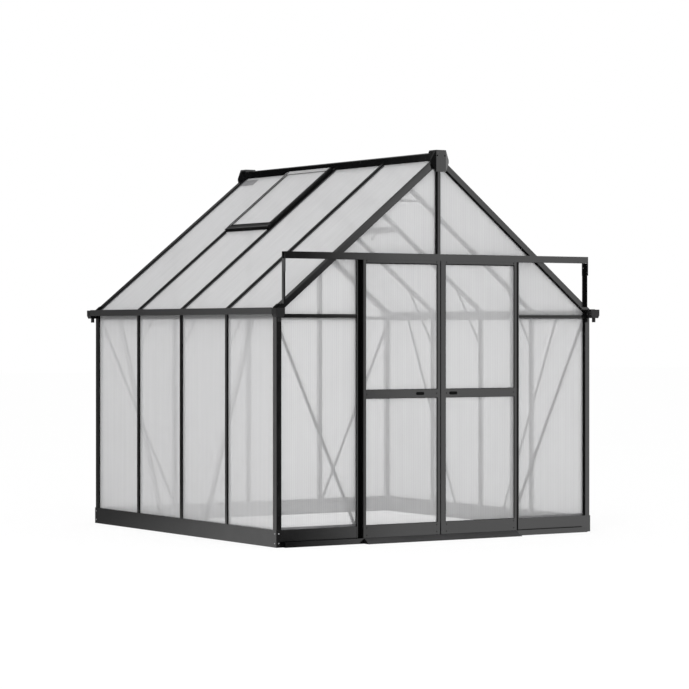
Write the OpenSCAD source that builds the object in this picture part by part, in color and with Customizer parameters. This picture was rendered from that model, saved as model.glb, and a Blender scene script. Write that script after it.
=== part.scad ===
// Walk-in greenhouse with a metal glazing-bar frame, twin-wall sheets, two roof vents and sliding doors.
// The door end faces -Y. The base frame is drawn about its own centre, then moved so that the whole part
// is centred.

/* [Footprint] */
// Width of the base frame across the door end
base_w = 2490; // [2300:10:2700]
// Length of the base frame from the door end to the back
base_l = 2504; // [2304:10:3204]
// Height of the folded base rail
base_h = 110; // [90:5:140]
// Sheet thickness of the base rail
base_t = 2.5; // [2:0.5:4]
// Width of the base rail's inward flanges
base_flange = 50; // [44:2:60]

/* [Walls] */
// Height of the rafters' top edge over the side of the base
eave_top = 1506; // [1400:1:1700]
// Slope of the roof in degrees
pitch = 38.9; // [34:0.1:42]
// Number of bays along each side
bays = 4; // [3:1:6]
// Distance of the door jambs and back posts from the middle
jamb_x = 617; // [560:1:660]

/* [Bars] */
// Face width of a glazing bar on the sides and the roof
bar_w = 25; // [22:1:32]
// Depth of those bars, outside to inside
bar_d = 30; // [28:1:40]
// Metal in front of their sheets
cover = 10; // [8:1:13]
// Face width of a bar in the two end walls
end_w = 20; // [19:1:30]
// Depth of the end walls' bars
end_d = 44; // [44:1:50]
// Metal in front of the end walls' sheets
end_cover = 28; // [20:1:28]
// Thickness of the twin-wall sheet
sheet_t = 6; // [4:0.5:8]
// How far a sheet enters its slot
slot_deep = 8; // [6:0.5:8]
// Set-back of the bars from the base's outer faces
bar_set = 4; // [2:1:8]
// Face width of a corner post on the door end
corner_w = 35; // [34:1:45]
// Depth of the end rafters square to the roof
gable_d = 36; // [34:1:50]

/* [Gutters and ridge] */
// Height of the gutter's outer wall
gutter_h = 42; // [38:1:48]
// How far the gutter stands out past the base
gutter_out = 37; // [30:1:45]
// How far the end caps run past the base
cap_run = 54; // [48:1:70]
// Half width of the ridge beam
ridge_half = 22; // [20:1:34]
// Depth of the ridge beam under the roof line
ridge_deep = 66; // [64:2:110]

/* [Roof vents] */
// Distance of the vent's lower edge from the middle, level
vent_x = 550; // [420:5:600]
// Bay that holds the vents, counted from the door end
vent_bay = 3; // [1:1:3]
// Height of the vent frame over the sheets
vent_rise = 26; // [20:1:32]

/* [Doors] */
// Distance of the doors' outer edges from the middle
door_side = 614; // [560:2:640]
// Place of the gap between the doors, left of the middle
gap_x = 8; // [0:1:30]
// Face width of a door's outer stile
stile_w = 25; // [22:1:35]
// Face width of the left door's meeting stile
meet_left_w = 20; // [19:1:35]
// Face width of the right door's meeting stile
meet_right_w = 37; // [22:1:40]
// Thickness of a door
door_t = 20; // [18:1:24]
// Space between the doors when shut
door_gap = 8; // [6:1:12]
// Underside of a door
door_z = 30; // [28:1:34]
// Top of a door
door_top = 1828; // [1700:1:1850]
// How far each door slides
travel = 580; // [400:10:580]
// Distance of the left door's handle from the middle
handle_left = 169; // [100:1:400]
// Distance of the right door's handle from the middle
handle_right = 93; // [80:1:400]
// How far the threshold ramp runs out from the guide rail
ramp_run = 54; // [40:1:70]

/* [Hidden] */

$fn = 32;
eps = 1;
half_w = base_w / 2;
half_l = base_l / 2;
slope_cos = cos(pitch);
ridge_z = round(eave_top + half_w * tan(pitch));
top_z = ridge_z + 200;

// Sheet planes and inner faces of the bars, measured inward from the outer face of the base
sheet_in = bar_set + cover;
inner_in = bar_set + bar_d;
end_sheet_in = bar_set + end_cover;
end_in = bar_set + end_d;
// A slot is wider than its sheet by this much on each side
play = 0.2;
slot_t = sheet_t + 2 * play;

// Eaves
beam_d = 24;
wall_t = 3;
gutter_t = 2;
rafter_end = 6;
sheet_end = 5;
// The rafters' feet stand just clear of the gutter's floor
gutter_z = floor(under_z(half_w - rafter_end, bar_d) - gutter_t);
beam_z = gutter_z - 27;
eave_bar_z = gutter_z - end_w / 2;

// Doors, track and guide, measured outward from the front face of the base
door_back = 5;
door_front = door_back + door_t;
door_sheet = door_back + (door_t - sheet_t) / 2;
top_rail_h = 30;
mid_rail_z = 930;
mid_rail_h = 55;
kick_h = 86;
track_t = 3;
track_front = door_front + 8;
track_z = door_top - 6;
track_top = track_z + 44;
open_reach = door_side + travel;
plate_t = 3;
end_clear = 5;
track_half = open_reach + end_clear + plate_t;
guide_half = open_reach + 2;
lip_z = door_top + 6;
guide_h = 35;
header_z = track_z + 2;
header_h = 40;
ramp_half = jamb_x - 10;
wheel_r = 9;
wheel_t = 7;
axle_z = lip_z + 2 + wheel_r + 0.3;
runner_in = 100;

// Whole length, and the move that centres it
front_reach = half_l + track_front + ramp_run;
back_reach = half_l + cap_run;
mid_y = (front_reach - back_reach) / 2;

post_pitch = (base_l - 2 * end_sheet_in) / bays;
post_ys = [for (i = [1 : bays - 1]) (i - bays / 2) * post_pitch];

// Height of the roof surface, and of a line below it, at a distance from the middle
function roof_z(x) = ridge_z - x * tan(pitch);
function under_z(x, depth) = roof_z(x) - depth / slope_cos;
// Distance from the middle at which a line below the roof has a given height
function under_x(z, depth) = (ridge_z - depth / slope_cos - z) / tan(pitch);

module placed() {
    translate([0, mid_y, 0]) children();
}

module both_sides() {
    children();
    mirror([1, 0, 0]) children();
}

module both_ends() {
    children();
    mirror([0, 1, 0]) children();
}

// Outline in X and Z, run along Y between two places
module along_y(from, to) {
    translate([0, to, 0]) rotate([90, 0, 0]) linear_extrude(height = to - from) children();
}

// Outline in Y and Z, run along X between two places
module along_x(from, to) {
    translate([from, 0, 0]) rotate([90, 0, 90]) linear_extrude(height = to - from) children();
}

// Right-hand roof slope: local X runs down from the ridge line, local Z stands out from the roof
module on_slope() {
    translate([0, 0, ridge_z]) rotate([0, pitch, 0]) children();
}

// Glazing bar outline: outer face on Y = 0, a sheet slot on each side and a bolt groove inside
module bar_section(width, deep, front) {
    groove_w = 13;
    groove_d = 5;
    mouth_w = 7;
    lip = 3;
    difference() {
        translate([-width / 2, -deep]) square([width, deep]);
        for (side = [-1, 1]) {
            translate([side * width / 2, -front - sheet_t / 2]) {
                square([2 * slot_deep, slot_t], center = true);
            }
        }
        translate([-groove_w / 2, lip - deep]) square([groove_w, groove_d]);
        translate([-mouth_w / 2, -deep - eps]) square([mouth_w, lip + 2 * eps]);
    }
}

module side_bar_section() {
    bar_section(bar_w, bar_d, cover);
}

module end_bar_section() {
    bar_section(end_w, end_d, end_cover);
}

// Upright bar of a side wall, and of an end wall
module side_bar_up(from, to) {
    translate([0, 0, from]) linear_extrude(height = to - from) side_bar_section();
}

module end_bar_up(from, to) {
    translate([0, 0, from]) linear_extrude(height = to - from) end_bar_section();
}

// One base rail on the -Y side with mitred ends and two anchor holes in its foot
module base_rail(length, reach) {
    anchor_x = 800;
    anchor_r = 5;
    translate([0, -reach, 0]) difference() {
        intersection() {
            along_x(-length / 2, length / 2) difference() {
                square([base_flange, base_h]);
                translate([base_t, base_t]) square([base_flange, base_h - 2 * base_t]);
            }
            linear_extrude(height = base_h) polygon([
                [-length / 2, 0],
                [length / 2, 0],
                [length / 2 - base_flange, base_flange],
                [base_flange - length / 2, base_flange]
            ]);
        }
        for (side = [-1, 1]) {
            translate([side * anchor_x, base_flange / 2, -eps]) cylinder(r = anchor_r, h = base_t + 2 * eps);
        }
    }
}

module base_front() {
    color("dimgray") placed() base_rail(base_w, half_l);
}

module base_back() {
    color("dimgray") placed() rotate([0, 0, 180]) base_rail(base_w, half_l);
}

module base_left() {
    color("dimgray") placed() rotate([0, 0, 270]) base_rail(base_l, half_w);
}

module base_right() {
    color("dimgray") placed() rotate([0, 0, 90]) base_rail(base_l, half_w);
}

// Everything above a line below the roof, as an outline in X and Z on the right-hand side
module above_line(depth) {
    polygon([
        [0, under_z(0, depth)],
        [base_w, under_z(base_w, depth)],
        [base_w, top_z],
        [0, top_z]
    ]);
}

module below_line(depth) {
    polygon([
        [0, -eps],
        [base_w, -eps],
        [base_w, under_z(base_w, depth)],
        [0, under_z(0, depth)]
    ]);
}

// Corner post at the back right, a tube with one slot for each wall's sheets
module corner_post() {
    out_x = half_w - bar_set;
    out_y = half_l - bar_set;
    tube = 20;
    wall = 4;
    difference() {
        translate([0, 0, base_h]) linear_extrude(height = gutter_z + base_flange - base_h) difference() {
            translate([out_x - corner_w, out_y - end_d]) square([corner_w, end_d]);
            translate([out_x - cover - sheet_t - play, out_y - end_d - eps]) {
                square([slot_t, slot_deep + eps]);
            }
            translate([out_x - corner_w - eps, out_y - end_cover - sheet_t - play]) {
                square([slot_deep + eps, slot_t]);
            }
            translate([out_x - wall - tube, out_y - wall - tube]) square(tube);
        }
        along_y(0, base_l) above_line(gable_d);
        translate([half_w - sheet_in - sheet_t, 0, gutter_z]) cube([base_flange, base_l, top_z]);
    }
}

module corner_posts() {
    color("dimgray") placed() both_ends() both_sides() corner_post();
}

module side_posts() {
    color("dimgray") placed() both_sides() for (y = post_ys) {
        difference() {
            translate([half_w - bar_set, y, 0]) rotate([0, 0, -90]) side_bar_up(base_h, gutter_z);
            translate([half_w - inner_in - eps, y - bar_w, beam_z]) {
                cube([bar_d - cover - sheet_t + eps, 2 * bar_w, top_z]);
            }
        }
    }
}

module back_posts() {
    color("dimgray") placed() translate([0, half_l - bar_set, 0]) {
        both_sides() difference() {
            translate([jamb_x, 0, 0]) end_bar_up(base_h, roof_z(0));
            translate([0, -half_l, 0]) along_y(0, base_l) above_line(gable_d);
        }
        end_bar_up(base_h, ridge_z - ridge_deep);
    }
}

module door_jambs() {
    color("dimgray") placed() both_sides() translate([jamb_x, bar_set - half_l, 0]) {
        rotate([0, 0, 180]) end_bar_up(base_h, header_z);
    }
}

module king_post() {
    color("dimgray") placed() translate([0, bar_set - half_l, 0]) {
        rotate([0, 0, 180]) end_bar_up(header_z + header_h, ridge_z - ridge_deep);
    }
}

// Level bar between two uprights, on the back wall's plane
module level_bar(from, to) {
    translate([from, half_l - bar_set, eave_bar_z]) rotate([90, 0, 90]) {
        linear_extrude(height = to - from) rotate([0, 0, -90]) end_bar_section();
    }
}

module eave_bars() {
    color("dimgray") placed() both_sides() {
        both_ends() level_bar(jamb_x + end_w / 2, half_w - bar_set - corner_w);
        level_bar(end_w / 2, jamb_x - end_w / 2);
    }
}

module door_header() {
    slot_y = end_sheet_in - play - half_l;
    color("dimgray") placed() difference() {
        along_y(bar_set - half_l, end_in - half_l) polygon([
            [-under_x(header_z, gable_d), header_z],
            [under_x(header_z, gable_d), header_z],
            [under_x(header_z + header_h, gable_d), header_z + header_h],
            [-under_x(header_z + header_h, gable_d), header_z + header_h]
        ]);
        translate([-half_w, slot_y, header_z + header_h - slot_deep]) cube([base_w, slot_t, header_h]);
        both_sides() translate([jamb_x, slot_y, header_z - eps]) cube([half_w, slot_t, slot_deep + eps]);
    }
}

// Box beam along the eaves, its top cut to the roof's slope
module eave_beam() {
    out_x = half_w - sheet_in - sheet_t;
    in_x = out_x - beam_d;
    along_y(end_in - half_l, half_l - end_in) difference() {
        polygon([
            [in_x, beam_z],
            [out_x, beam_z],
            [out_x, under_z(out_x, bar_d)],
            [in_x, under_z(in_x, bar_d)]
        ]);
        polygon([
            [in_x + wall_t, beam_z + wall_t],
            [out_x - wall_t, beam_z + wall_t],
            [out_x - wall_t, under_z(out_x - wall_t, bar_d + wall_t)],
            [in_x + wall_t, under_z(in_x + wall_t, bar_d + wall_t)]
        ]);
    }
}

module eave_beams() {
    color("dimgray") placed() both_sides() eave_beam();
}

// Open channel on the outside of the eaves
module gutter() {
    back_x = half_w - sheet_in - sheet_t;
    out_x = half_w + gutter_out;
    lip = 5;
    along_y(-half_l - bar_set, half_l + bar_set) polygon([
        [back_x, gutter_z],
        [out_x, gutter_z],
        [out_x, gutter_z + gutter_h],
        [out_x - lip, gutter_z + gutter_h],
        [out_x - lip, gutter_z + gutter_h - gutter_t],
        [out_x - gutter_t, gutter_z + gutter_h - gutter_t],
        [out_x - gutter_t, gutter_z + gutter_t],
        [back_x + gutter_t, gutter_z + gutter_t],
        [back_x + gutter_t, under_z(back_x + gutter_t, bar_d)],
        [back_x, under_z(back_x, bar_d)]
    ]);
}

module gutters() {
    color("dimgray") placed() both_sides() gutter();
}

// Hopper with a spout that closes one end of a gutter
module gutter_end_cap() {
    in_x = half_w - sheet_in - 18;
    out_x = half_w + gutter_out;
    top = gutter_z + gutter_h - 3;
    foot = gutter_z - 19;
    taper = 10;
    shell = 3;
    spout_r = 12;
    spout_x = (in_x + out_x) / 2 - 3;
    spout_y = half_l + cap_run - spout_r - 3;
    spout_z = foot - 28;
    difference() {
        union() {
            along_y(half_l + bar_set, half_l + cap_run) polygon([
                [in_x + taper, foot],
                [out_x - taper, foot],
                [out_x, gutter_z],
                [out_x, top],
                [in_x, top],
                [in_x, gutter_z]
            ]);
            translate([spout_x, spout_y, spout_z]) cylinder(r = spout_r, h = foot - spout_z + eps);
        }
        along_y(half_l, half_l + cap_run - shell) polygon([
            [in_x + taper + shell, foot + shell],
            [out_x - taper - shell, foot + shell],
            [out_x - shell, gutter_z],
            [out_x - shell, top + eps],
            [in_x + shell, top + eps],
            [in_x + shell, gutter_z]
        ]);
        translate([spout_x, spout_y, spout_z - eps]) {
            cylinder(r = spout_r - shell, h = foot - spout_z + shell + 2 * eps);
        }
    }
}

module gutter_end_caps() {
    color("dimgray") placed() both_ends() both_sides() gutter_end_cap();
}

// Outline of the ridge beam, made larger by a margin
module ridge_outline(grow) {
    under = ridge_z - ridge_deep;
    side_top = ridge_z + 17;
    crown = ridge_z + 25;
    polygon([
        [-ridge_half - grow, under - grow],
        [ridge_half + grow, under - grow],
        [ridge_half + grow, side_top + grow],
        [0, crown + grow],
        [-ridge_half - grow, side_top + grow]
    ]);
}

module ridge_beam() {
    color("dimgray") placed() along_y(bar_set - half_l, half_l - bar_set) difference() {
        ridge_outline(0);
        ridge_outline(-wall_t);
    }
}

// Moulded cap on the end of the ridge: a chamfered front, and a saddle that laps over the ridge beam
module ridge_cap() {
    face_half = 38;
    side_half = 72;
    saddle_half = 44;
    foot_z = ridge_z - 106;
    low_z = ridge_z - 45;
    high_z = ridge_z - 29;
    crown_z = ridge_z + 37;
    front = half_l + 20;
    shoulder = half_l + 4;
    wall = half_l - bar_set;
    rear = half_l - 62;
    intersection() {
        difference() {
            along_y(rear, front) polygon([
                [-face_half, foot_z],
                [face_half, foot_z],
                [side_half, low_z],
                [side_half, high_z],
                [face_half, crown_z],
                [-face_half, crown_z],
                [-side_half, high_z],
                [-side_half, low_z]
            ]);
            along_y(rear - eps, wall) {
                below_line(-play);
                mirror([1, 0, 0]) below_line(-play);
                ridge_outline(play);
            }
        }
        linear_extrude(height = top_z) polygon([
            [-saddle_half, rear],
            [saddle_half, rear],
            [saddle_half, wall],
            [side_half, wall],
            [side_half, shoulder],
            [face_half, front],
            [-face_half, front],
            [-side_half, shoulder],
            [-side_half, wall],
            [-saddle_half, wall]
        ]);
    }
}

module ridge_caps() {
    color("dimgray") placed() both_ends() ridge_cap();
}

// End rafter at the back right, slotted for the roof sheets and for the end wall's sheets
module gable_rafter() {
    step_x = half_w - sheet_in - sheet_t;
    end_x = half_w - rafter_end;
    out_y = half_l - bar_set;
    difference() {
        along_y(half_l - end_in, out_y) polygon([
            [ridge_half, roof_z(ridge_half)],
            [end_x, roof_z(end_x)],
            [end_x, under_z(end_x, bar_d)],
            [step_x, under_z(step_x, bar_d)],
            [step_x, under_z(step_x, gable_d)],
            [ridge_half, under_z(ridge_half, gable_d)]
        ]);
        on_slope() translate([0, half_l - end_in - eps, -cover - sheet_t - play]) {
            cube([base_w, slot_deep + eps, slot_t]);
        }
        difference() {
            translate([0, out_y - end_cover - sheet_t - play, 0]) {
                cube([half_w - bar_set - corner_w + slot_deep, slot_t, top_z]);
            }
            along_y(0, base_l) above_line(gable_d - slot_deep);
        }
    }
}

module gable_rafters() {
    color("dimgray") placed() both_ends() both_sides() gable_rafter();
}

module rafters() {
    end_x = half_w - rafter_end;
    color("dimgray") placed() both_sides() for (y = post_ys) {
        intersection() {
            on_slope() translate([-base_flange, y, 0]) rotate([90, 0, 90]) {
                linear_extrude(height = base_w) side_bar_section();
            }
            translate([ridge_half, -base_l, 0]) cube([end_x - ridge_half, 2 * base_l, top_z]);
        }
    }
}

// Both edges of one bay, measured to where the sheets sit in their slots
function bay_from(i) =
    i == 0 ? end_in - slot_deep - half_l : (i - bays / 2) * post_pitch + bar_w / 2 - slot_deep;
function bay_to(i) = -bay_from(bays - 1 - i);

module side_wall_sheets() {
    color("whitesmoke") placed() both_sides() for (i = [0 : bays - 1]) {
        translate([half_w - sheet_in - sheet_t, bay_from(i), base_h]) {
            cube([sheet_t, bay_to(i) - bay_from(i), gutter_z - base_h]);
        }
    }
}

// Sheet on the back wall's plane, outline in X and Z
module end_sheet() {
    along_y(half_l - end_sheet_in - sheet_t, half_l - end_sheet_in) children();
}

jamb_slot = jamb_x + end_w / 2 - slot_deep;
jamb_slot_in = jamb_x - end_w / 2 + slot_deep;
mid_slot = end_w / 2 - slot_deep;
corner_slot = half_w - bar_set - corner_w + slot_deep;
low_sheet_top = eave_bar_z - end_w / 2 + slot_deep;
high_sheet_foot = eave_bar_z + end_w / 2 - slot_deep;
gable_line = gable_d - slot_deep + play;

module low_sheet(from, to) {
    end_sheet() translate([from, base_h]) square([to - from, low_sheet_top - base_h]);
}

module back_wall_sheets() {
    color("whitesmoke") placed() both_sides() {
        low_sheet(jamb_slot, corner_slot);
        low_sheet(mid_slot, jamb_slot_in);
    }
}

module front_wall_sheets() {
    color("whitesmoke") placed() both_sides() mirror([0, 1, 0]) low_sheet(jamb_slot, corner_slot);
}

// Part of the gable between two distances from the middle, over a level line and under the end rafters
module gable_part(from, to, foot, top) {
    intersection() {
        translate([from, foot]) square([to - from, top - foot]);
        below_line(gable_line);
    }
}

module gable_mid(foot) {
    difference() {
        gable_part(mid_slot, jamb_slot_in, foot, top_z);
        translate([0, ridge_z - ridge_deep]) square([ridge_half, top_z]);
    }
}

module gable_sheets_front() {
    head = header_z + header_h - slot_deep;
    color("whitesmoke") placed() both_sides() mirror([0, 1, 0]) {
        end_sheet() gable_part(jamb_slot, corner_slot, high_sheet_foot, header_z + slot_deep);
        end_sheet() difference() {
            gable_part(mid_slot, half_w, head, top_z);
            translate([0, ridge_z - ridge_deep]) square([ridge_half, top_z]);
        }
    }
}

module gable_sheets_back() {
    color("whitesmoke") placed() both_sides() {
        end_sheet() gable_part(jamb_slot, corner_slot, high_sheet_foot, top_z);
        end_sheet() gable_mid(high_sheet_foot);
    }
}

// Roof sheet between two distances from the middle, for one bay on the right
module roof_sheet(i, from, to) {
    along_y(bay_from(i), bay_to(i)) polygon([
        [from, under_z(from, cover)],
        [to, under_z(to, cover)],
        [to, under_z(to, cover + sheet_t)],
        [from, under_z(from, cover + sheet_t)]
    ]);
}

vent_sill = 48;
vent_bar = 30;

module roof_sheets_right() {
    color("whitesmoke") placed() for (i = [0 : bays - 1]) {
        roof_sheet(i, i == vent_bay - 1 ? vent_x - vent_sill / 2 : ridge_half, half_w + sheet_end);
    }
}

module roof_sheets_left() {
    color("whitesmoke") mirror([1, 0, 0]) placed() for (i = [0 : bays - 1]) {
        roof_sheet(i, i == vent_bay - 1 ? vent_x - vent_sill / 2 : ridge_half, half_w + sheet_end);
    }
}

// Vent opening in the slope's own plane
vent_top = (ridge_half + cover * sin(pitch)) / slope_cos + 1;
vent_foot = vent_x / slope_cos;
vent_from = (vent_bay - 1 - bays / 2) * post_pitch + bar_w / 2 + 1;
vent_to = (vent_bay - bays / 2) * post_pitch - bar_w / 2 - 1;

module vent_hole() {
    translate([vent_top + vent_bar, vent_from + vent_bar]) {
        square([vent_foot - vent_sill - vent_top - vent_bar, vent_to - vent_from - 2 * vent_bar]);
    }
}

module vent_frames() {
    color("dimgray") placed() both_sides() on_slope() translate([0, 0, play - cover]) {
        linear_extrude(height = vent_rise) difference() {
            translate([vent_top, vent_from]) square([vent_foot - vent_top, vent_to - vent_from]);
            vent_hole();
        }
    }
}

module vent_sheets() {
    color("whitesmoke") placed() both_sides() on_slope() translate([0, 0, play - cover + vent_rise / 2]) {
        linear_extrude(height = sheet_t) vent_hole();
    }
}

// Flat strap with level ends, outline from a foot to a head
module strap(foot_x, foot_z, head_x, head_z) {
    strap_w = 20;
    run = head_x - foot_x;
    rise = head_z - foot_z;
    half = strap_w / 2 * sqrt(run * run + rise * rise) / rise;
    polygon([
        [foot_x - half, foot_z],
        [foot_x + half, foot_z],
        [head_x + half, head_z],
        [head_x - half, head_z]
    ]);
}

module wall_braces() {
    strap_t = 3;
    side_head = post_pitch * 1.5;
    side_foot = post_pitch * 0.5;
    end_head = half_w - bar_set - corner_w + 6;
    end_foot = jamb_x + 10;
    color("gray") placed() both_sides() both_ends() {
        along_x(half_w - inner_in - strap_t, half_w - inner_in) strap(side_foot, base_h, side_head, beam_z);
        along_y(half_l - end_in - strap_t, half_l - end_in) strap(end_foot, base_h, end_head, beam_z - 23);
    }
}

// Knee brace from the inside of a side post up to the underside of its rafter
module knee_braces() {
    knee_w = 20;
    post_x = half_w - inner_in;
    low_z = beam_z - 173;
    steep = 1.95;
    rise = 12;
    line_0 = ridge_z - bar_d / slope_cos;
    meet_low = (low_z + steep * post_x - line_0) / (steep - tan(pitch));
    meet_high = (low_z + rise + steep * post_x - line_0) / (steep - tan(pitch));
    color("gray") placed() both_sides() for (y = post_ys) {
        along_y(y - knee_w / 2, y + knee_w / 2) polygon([
            [post_x, low_z],
            [post_x, low_z + rise],
            [meet_high, under_z(meet_high, bar_d)],
            [meet_low, under_z(meet_low, bar_d)]
        ]);
    }
}

module collar_ties() {
    tie_z = ridge_z - 270;
    tie_h = 15;
    tie_w = 20;
    color("gray") placed() for (y = post_ys) {
        along_y(y - tie_w / 2, y + tie_w / 2) polygon([
            [-under_x(tie_z, bar_d), tie_z],
            [under_x(tie_z, bar_d), tie_z],
            [under_x(tie_z + tie_h, bar_d), tie_z + tie_h],
            [-under_x(tie_z + tie_h, bar_d), tie_z + tie_h]
        ]);
    }
}

// Outline drawn outward from the base's front face, run along X
module front_along_x(from, to) {
    translate([0, -half_l, 0]) mirror([0, 1, 0]) along_x(from, to) children();
}

// Hollow track with a slot in its floor for the door hangers
module door_track() {
    back = -bar_set;
    slot_half = 6;
    bead_z = track_z + 11;
    bead = 1;
    slot_mid = (door_back + door_front) / 2;
    lip_t = 2;
    inner_w = track_front - back - 2 * track_t;
    color("dimgray") placed() front_along_x(-track_half, track_half) difference() {
        translate([back, track_z]) square([track_front - back, track_top - track_z]);
        translate([back + track_t, lip_z + lip_t]) square([inner_w, track_top - track_t - lip_z - lip_t]);
        translate([back + track_t, track_z - eps]) square([inner_w, lip_z - track_z + eps]);
        translate([slot_mid - slot_half, track_z]) square([2 * slot_half, track_top - track_z - track_t]);
        translate([track_front - bead, bead_z]) square(2 * bead);
    }
}

// Angle under each end of the track, with a wider bracket at its head. Its back leg lies on the end rafter.
module track_struts() {
    foot_z = eave_top + 19;
    bracket_z = track_z - 83;
    strut_front = door_front - 7;
    strut_w = 24;
    bracket_w = 26;
    hole_in = 17;
    hole_down = 32;
    hole_r = 2.5;
    color("dimgray") placed() both_sides() difference() {
        union() {
            angle_leg(track_half - plate_t, foot_z, strut_front);
            angle_leg(track_half - strut_w, foot_z, plate_t - bar_set);
            angle_leg(track_half - plate_t, bracket_z, track_front);
            angle_leg(track_half - bracket_w, bracket_z, plate_t - bar_set);
        }
        translate([track_half - hole_in, -half_l, track_z - hole_down]) rotate([90, 0, 0]) {
            cylinder(r = hole_r, h = base_flange, center = true);
        }
    }
}

// One leg of an angle, from a distance outward to the track's end and from a height up to the track
module angle_leg(from_x, from_z, front) {
    front_along_x(from_x, track_half) translate([-bar_set, from_z]) {
        square([front + bar_set, track_z - from_z]);
    }
}

module guide_rail() {
    color("dimgray") placed() front_along_x(-guide_half, guide_half) difference() {
        square([track_front, guide_h]);
        translate([track_t, track_t]) square([track_front - 2 * track_t, guide_h]);
        translate([-eps, guide_h - 7]) square([track_front / 2, guide_h]);
    }
}

module threshold_ramp() {
    shell = 3;
    lip = 2;
    color("dimgray") placed() front_along_x(-ramp_half, ramp_half) translate([track_front, 0]) difference() {
        polygon([
            [0, 0],
            [ramp_run, 0],
            [ramp_run, lip],
            [0, guide_h]
        ]);
        polygon([
            [shell, shell],
            [ramp_run - 4 * shell, shell],
            [shell, guide_h - 2 * shell]
        ]);
    }
}

// Sliding doors, drawn on the right. A door runs from its meeting edge to door_side.
meet_left = gap_x + door_gap / 2;
meet_right = door_gap / 2 - gap_x;

// Box on the door, given its edges across and up, and its faces outward from the base
module door_box(from_x, to_x, from_z, to_z, from_f, to_f) {
    translate([from_x, -half_l - to_f, from_z]) cube([to_x - from_x, to_f - from_f, to_z - from_z]);
}

// Space of the two sheets, which the slots of stiles and rails match
module door_panes(meet, meet_w) {
    from_x = meet + meet_w - slot_deep;
    to_x = door_side - stile_w + slot_deep;
    low = door_z + kick_h - slot_deep;
    high = door_top - top_rail_h + slot_deep;
    door_box(from_x, to_x, low, mid_rail_z + slot_deep, door_sheet, door_sheet + sheet_t);
    door_box(from_x, to_x, mid_rail_z + mid_rail_h - slot_deep, high, door_sheet, door_sheet + sheet_t);
}

module door_stiles(meet, meet_w) {
    difference() {
        union() {
            door_box(meet, meet + meet_w, door_z, door_top, door_back, door_front);
            door_box(door_side - stile_w, door_side, door_z, door_top, door_back, door_front);
        }
        door_panes(meet, meet_w);
    }
}

module door_rails(meet, meet_w) {
    from_x = meet + meet_w;
    to_x = door_side - stile_w;
    difference() {
        union() {
            door_box(from_x, to_x, door_z, door_z + kick_h, door_back, door_front);
            door_box(from_x, to_x, mid_rail_z, mid_rail_z + mid_rail_h, door_back, door_front);
            door_box(from_x, to_x, door_top - top_rail_h, door_top, door_back, door_front);
        }
        door_panes(meet, meet_w);
    }
}

// Oval pull on the middle rail
module door_handle(x) {
    handle_w = 55;
    handle_h = 20;
    handle_t = 7;
    round_x = (handle_w - handle_h) / 2;
    translate([x, -half_l - door_front, mid_rail_z + mid_rail_h / 2]) rotate([90, 0, 0]) {
        for (side = [-1, 1]) {
            translate([side * round_x, 0, 0]) cylinder(d = handle_h, h = handle_t);
        }
        translate([-round_x, -handle_h / 2, 0]) cube([2 * round_x, handle_h, handle_t]);
    }
}

// Two hangers with wheels in the track, and two guide lugs in the bottom rail
module door_runners(meet) {
    plate_w = 40;
    hanger_t = 3;
    hub = 2;
    axle_r = 3;
    above_axle = 4;
    lug_w = 30;
    lug_t = 9;
    lug_z = 10;
    mid_f = (door_back + door_front) / 2;
    half_t = hanger_t / 2;
    half_plate = plate_w / 2;
    for (x = [meet + runner_in, door_side - runner_in]) {
        top_z = axle_z + above_axle;
        door_box(x - half_plate, x + half_plate, door_top, top_z, mid_f - half_t, mid_f + half_t);
        translate([x, -half_l - mid_f, axle_z]) rotate([90, 0, 0]) {
            cylinder(r = axle_r, h = hanger_t + 2 * wheel_t + 2 * hub, center = true);
            for (side = [-1, 1]) translate([0, 0, side * (half_t + hub + wheel_t / 2)]) {
                cylinder(r = wheel_r, h = wheel_t, center = true);
            }
        }
        door_box(x - lug_w / 2, x + lug_w / 2, lug_z, door_z, mid_f - lug_t / 2, mid_f + lug_t / 2);
    }
}

module on_left() {
    mirror([1, 0, 0]) children();
}

module door_left_stiles() {
    color("dimgray") placed() on_left() door_stiles(meet_left, meet_left_w);
}

module door_left_rails() {
    color("dimgray") placed() on_left() door_rails(meet_left, meet_left_w);
}

module door_left_sheets() {
    color("whitesmoke") placed() on_left() door_panes(meet_left, meet_left_w);
}

module door_left_handle() {
    color("black") placed() on_left() door_handle(handle_left);
}

module door_left_runners() {
    color("silver") placed() on_left() door_runners(meet_left);
}

module door_right_stiles() {
    color("dimgray") placed() door_stiles(meet_right, meet_right_w);
}

module door_right_rails() {
    color("dimgray") placed() door_rails(meet_right, meet_right_w);
}

module door_right_sheets() {
    color("whitesmoke") placed() door_panes(meet_right, meet_right_w);
}

module door_right_handle() {
    color("black") placed() door_handle(handle_right);
}

module door_right_runners() {
    color("silver") placed() door_runners(meet_right);
}

base_front();
base_back();
base_left();
base_right();
corner_posts();
side_posts();
back_posts();
door_jambs();
king_post();
eave_bars();
door_header();
eave_beams();
gutters();
gutter_end_caps();
ridge_beam();
ridge_caps();
gable_rafters();
rafters();
side_wall_sheets();
back_wall_sheets();
front_wall_sheets();
gable_sheets_front();
gable_sheets_back();
roof_sheets_left();
roof_sheets_right();
vent_frames();
vent_sheets();
wall_braces();
knee_braces();
collar_ties();
door_track();
track_struts();
guide_rail();
threshold_ramp();
door_left_stiles();
door_left_rails();
door_left_sheets();
door_left_handle();
door_left_runners();
door_right_stiles();
door_right_rails();
door_right_sheets();
door_right_handle();
door_right_runners();
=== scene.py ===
"""Looks of a walk-in greenhouse with a powder-coated bar frame, twin-wall sheets and two sliding doors."""

import logging
import math
from dataclasses import dataclass, field
from enum import Enum

import bmesh
import bpy
from mathutils import Matrix, Vector


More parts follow.
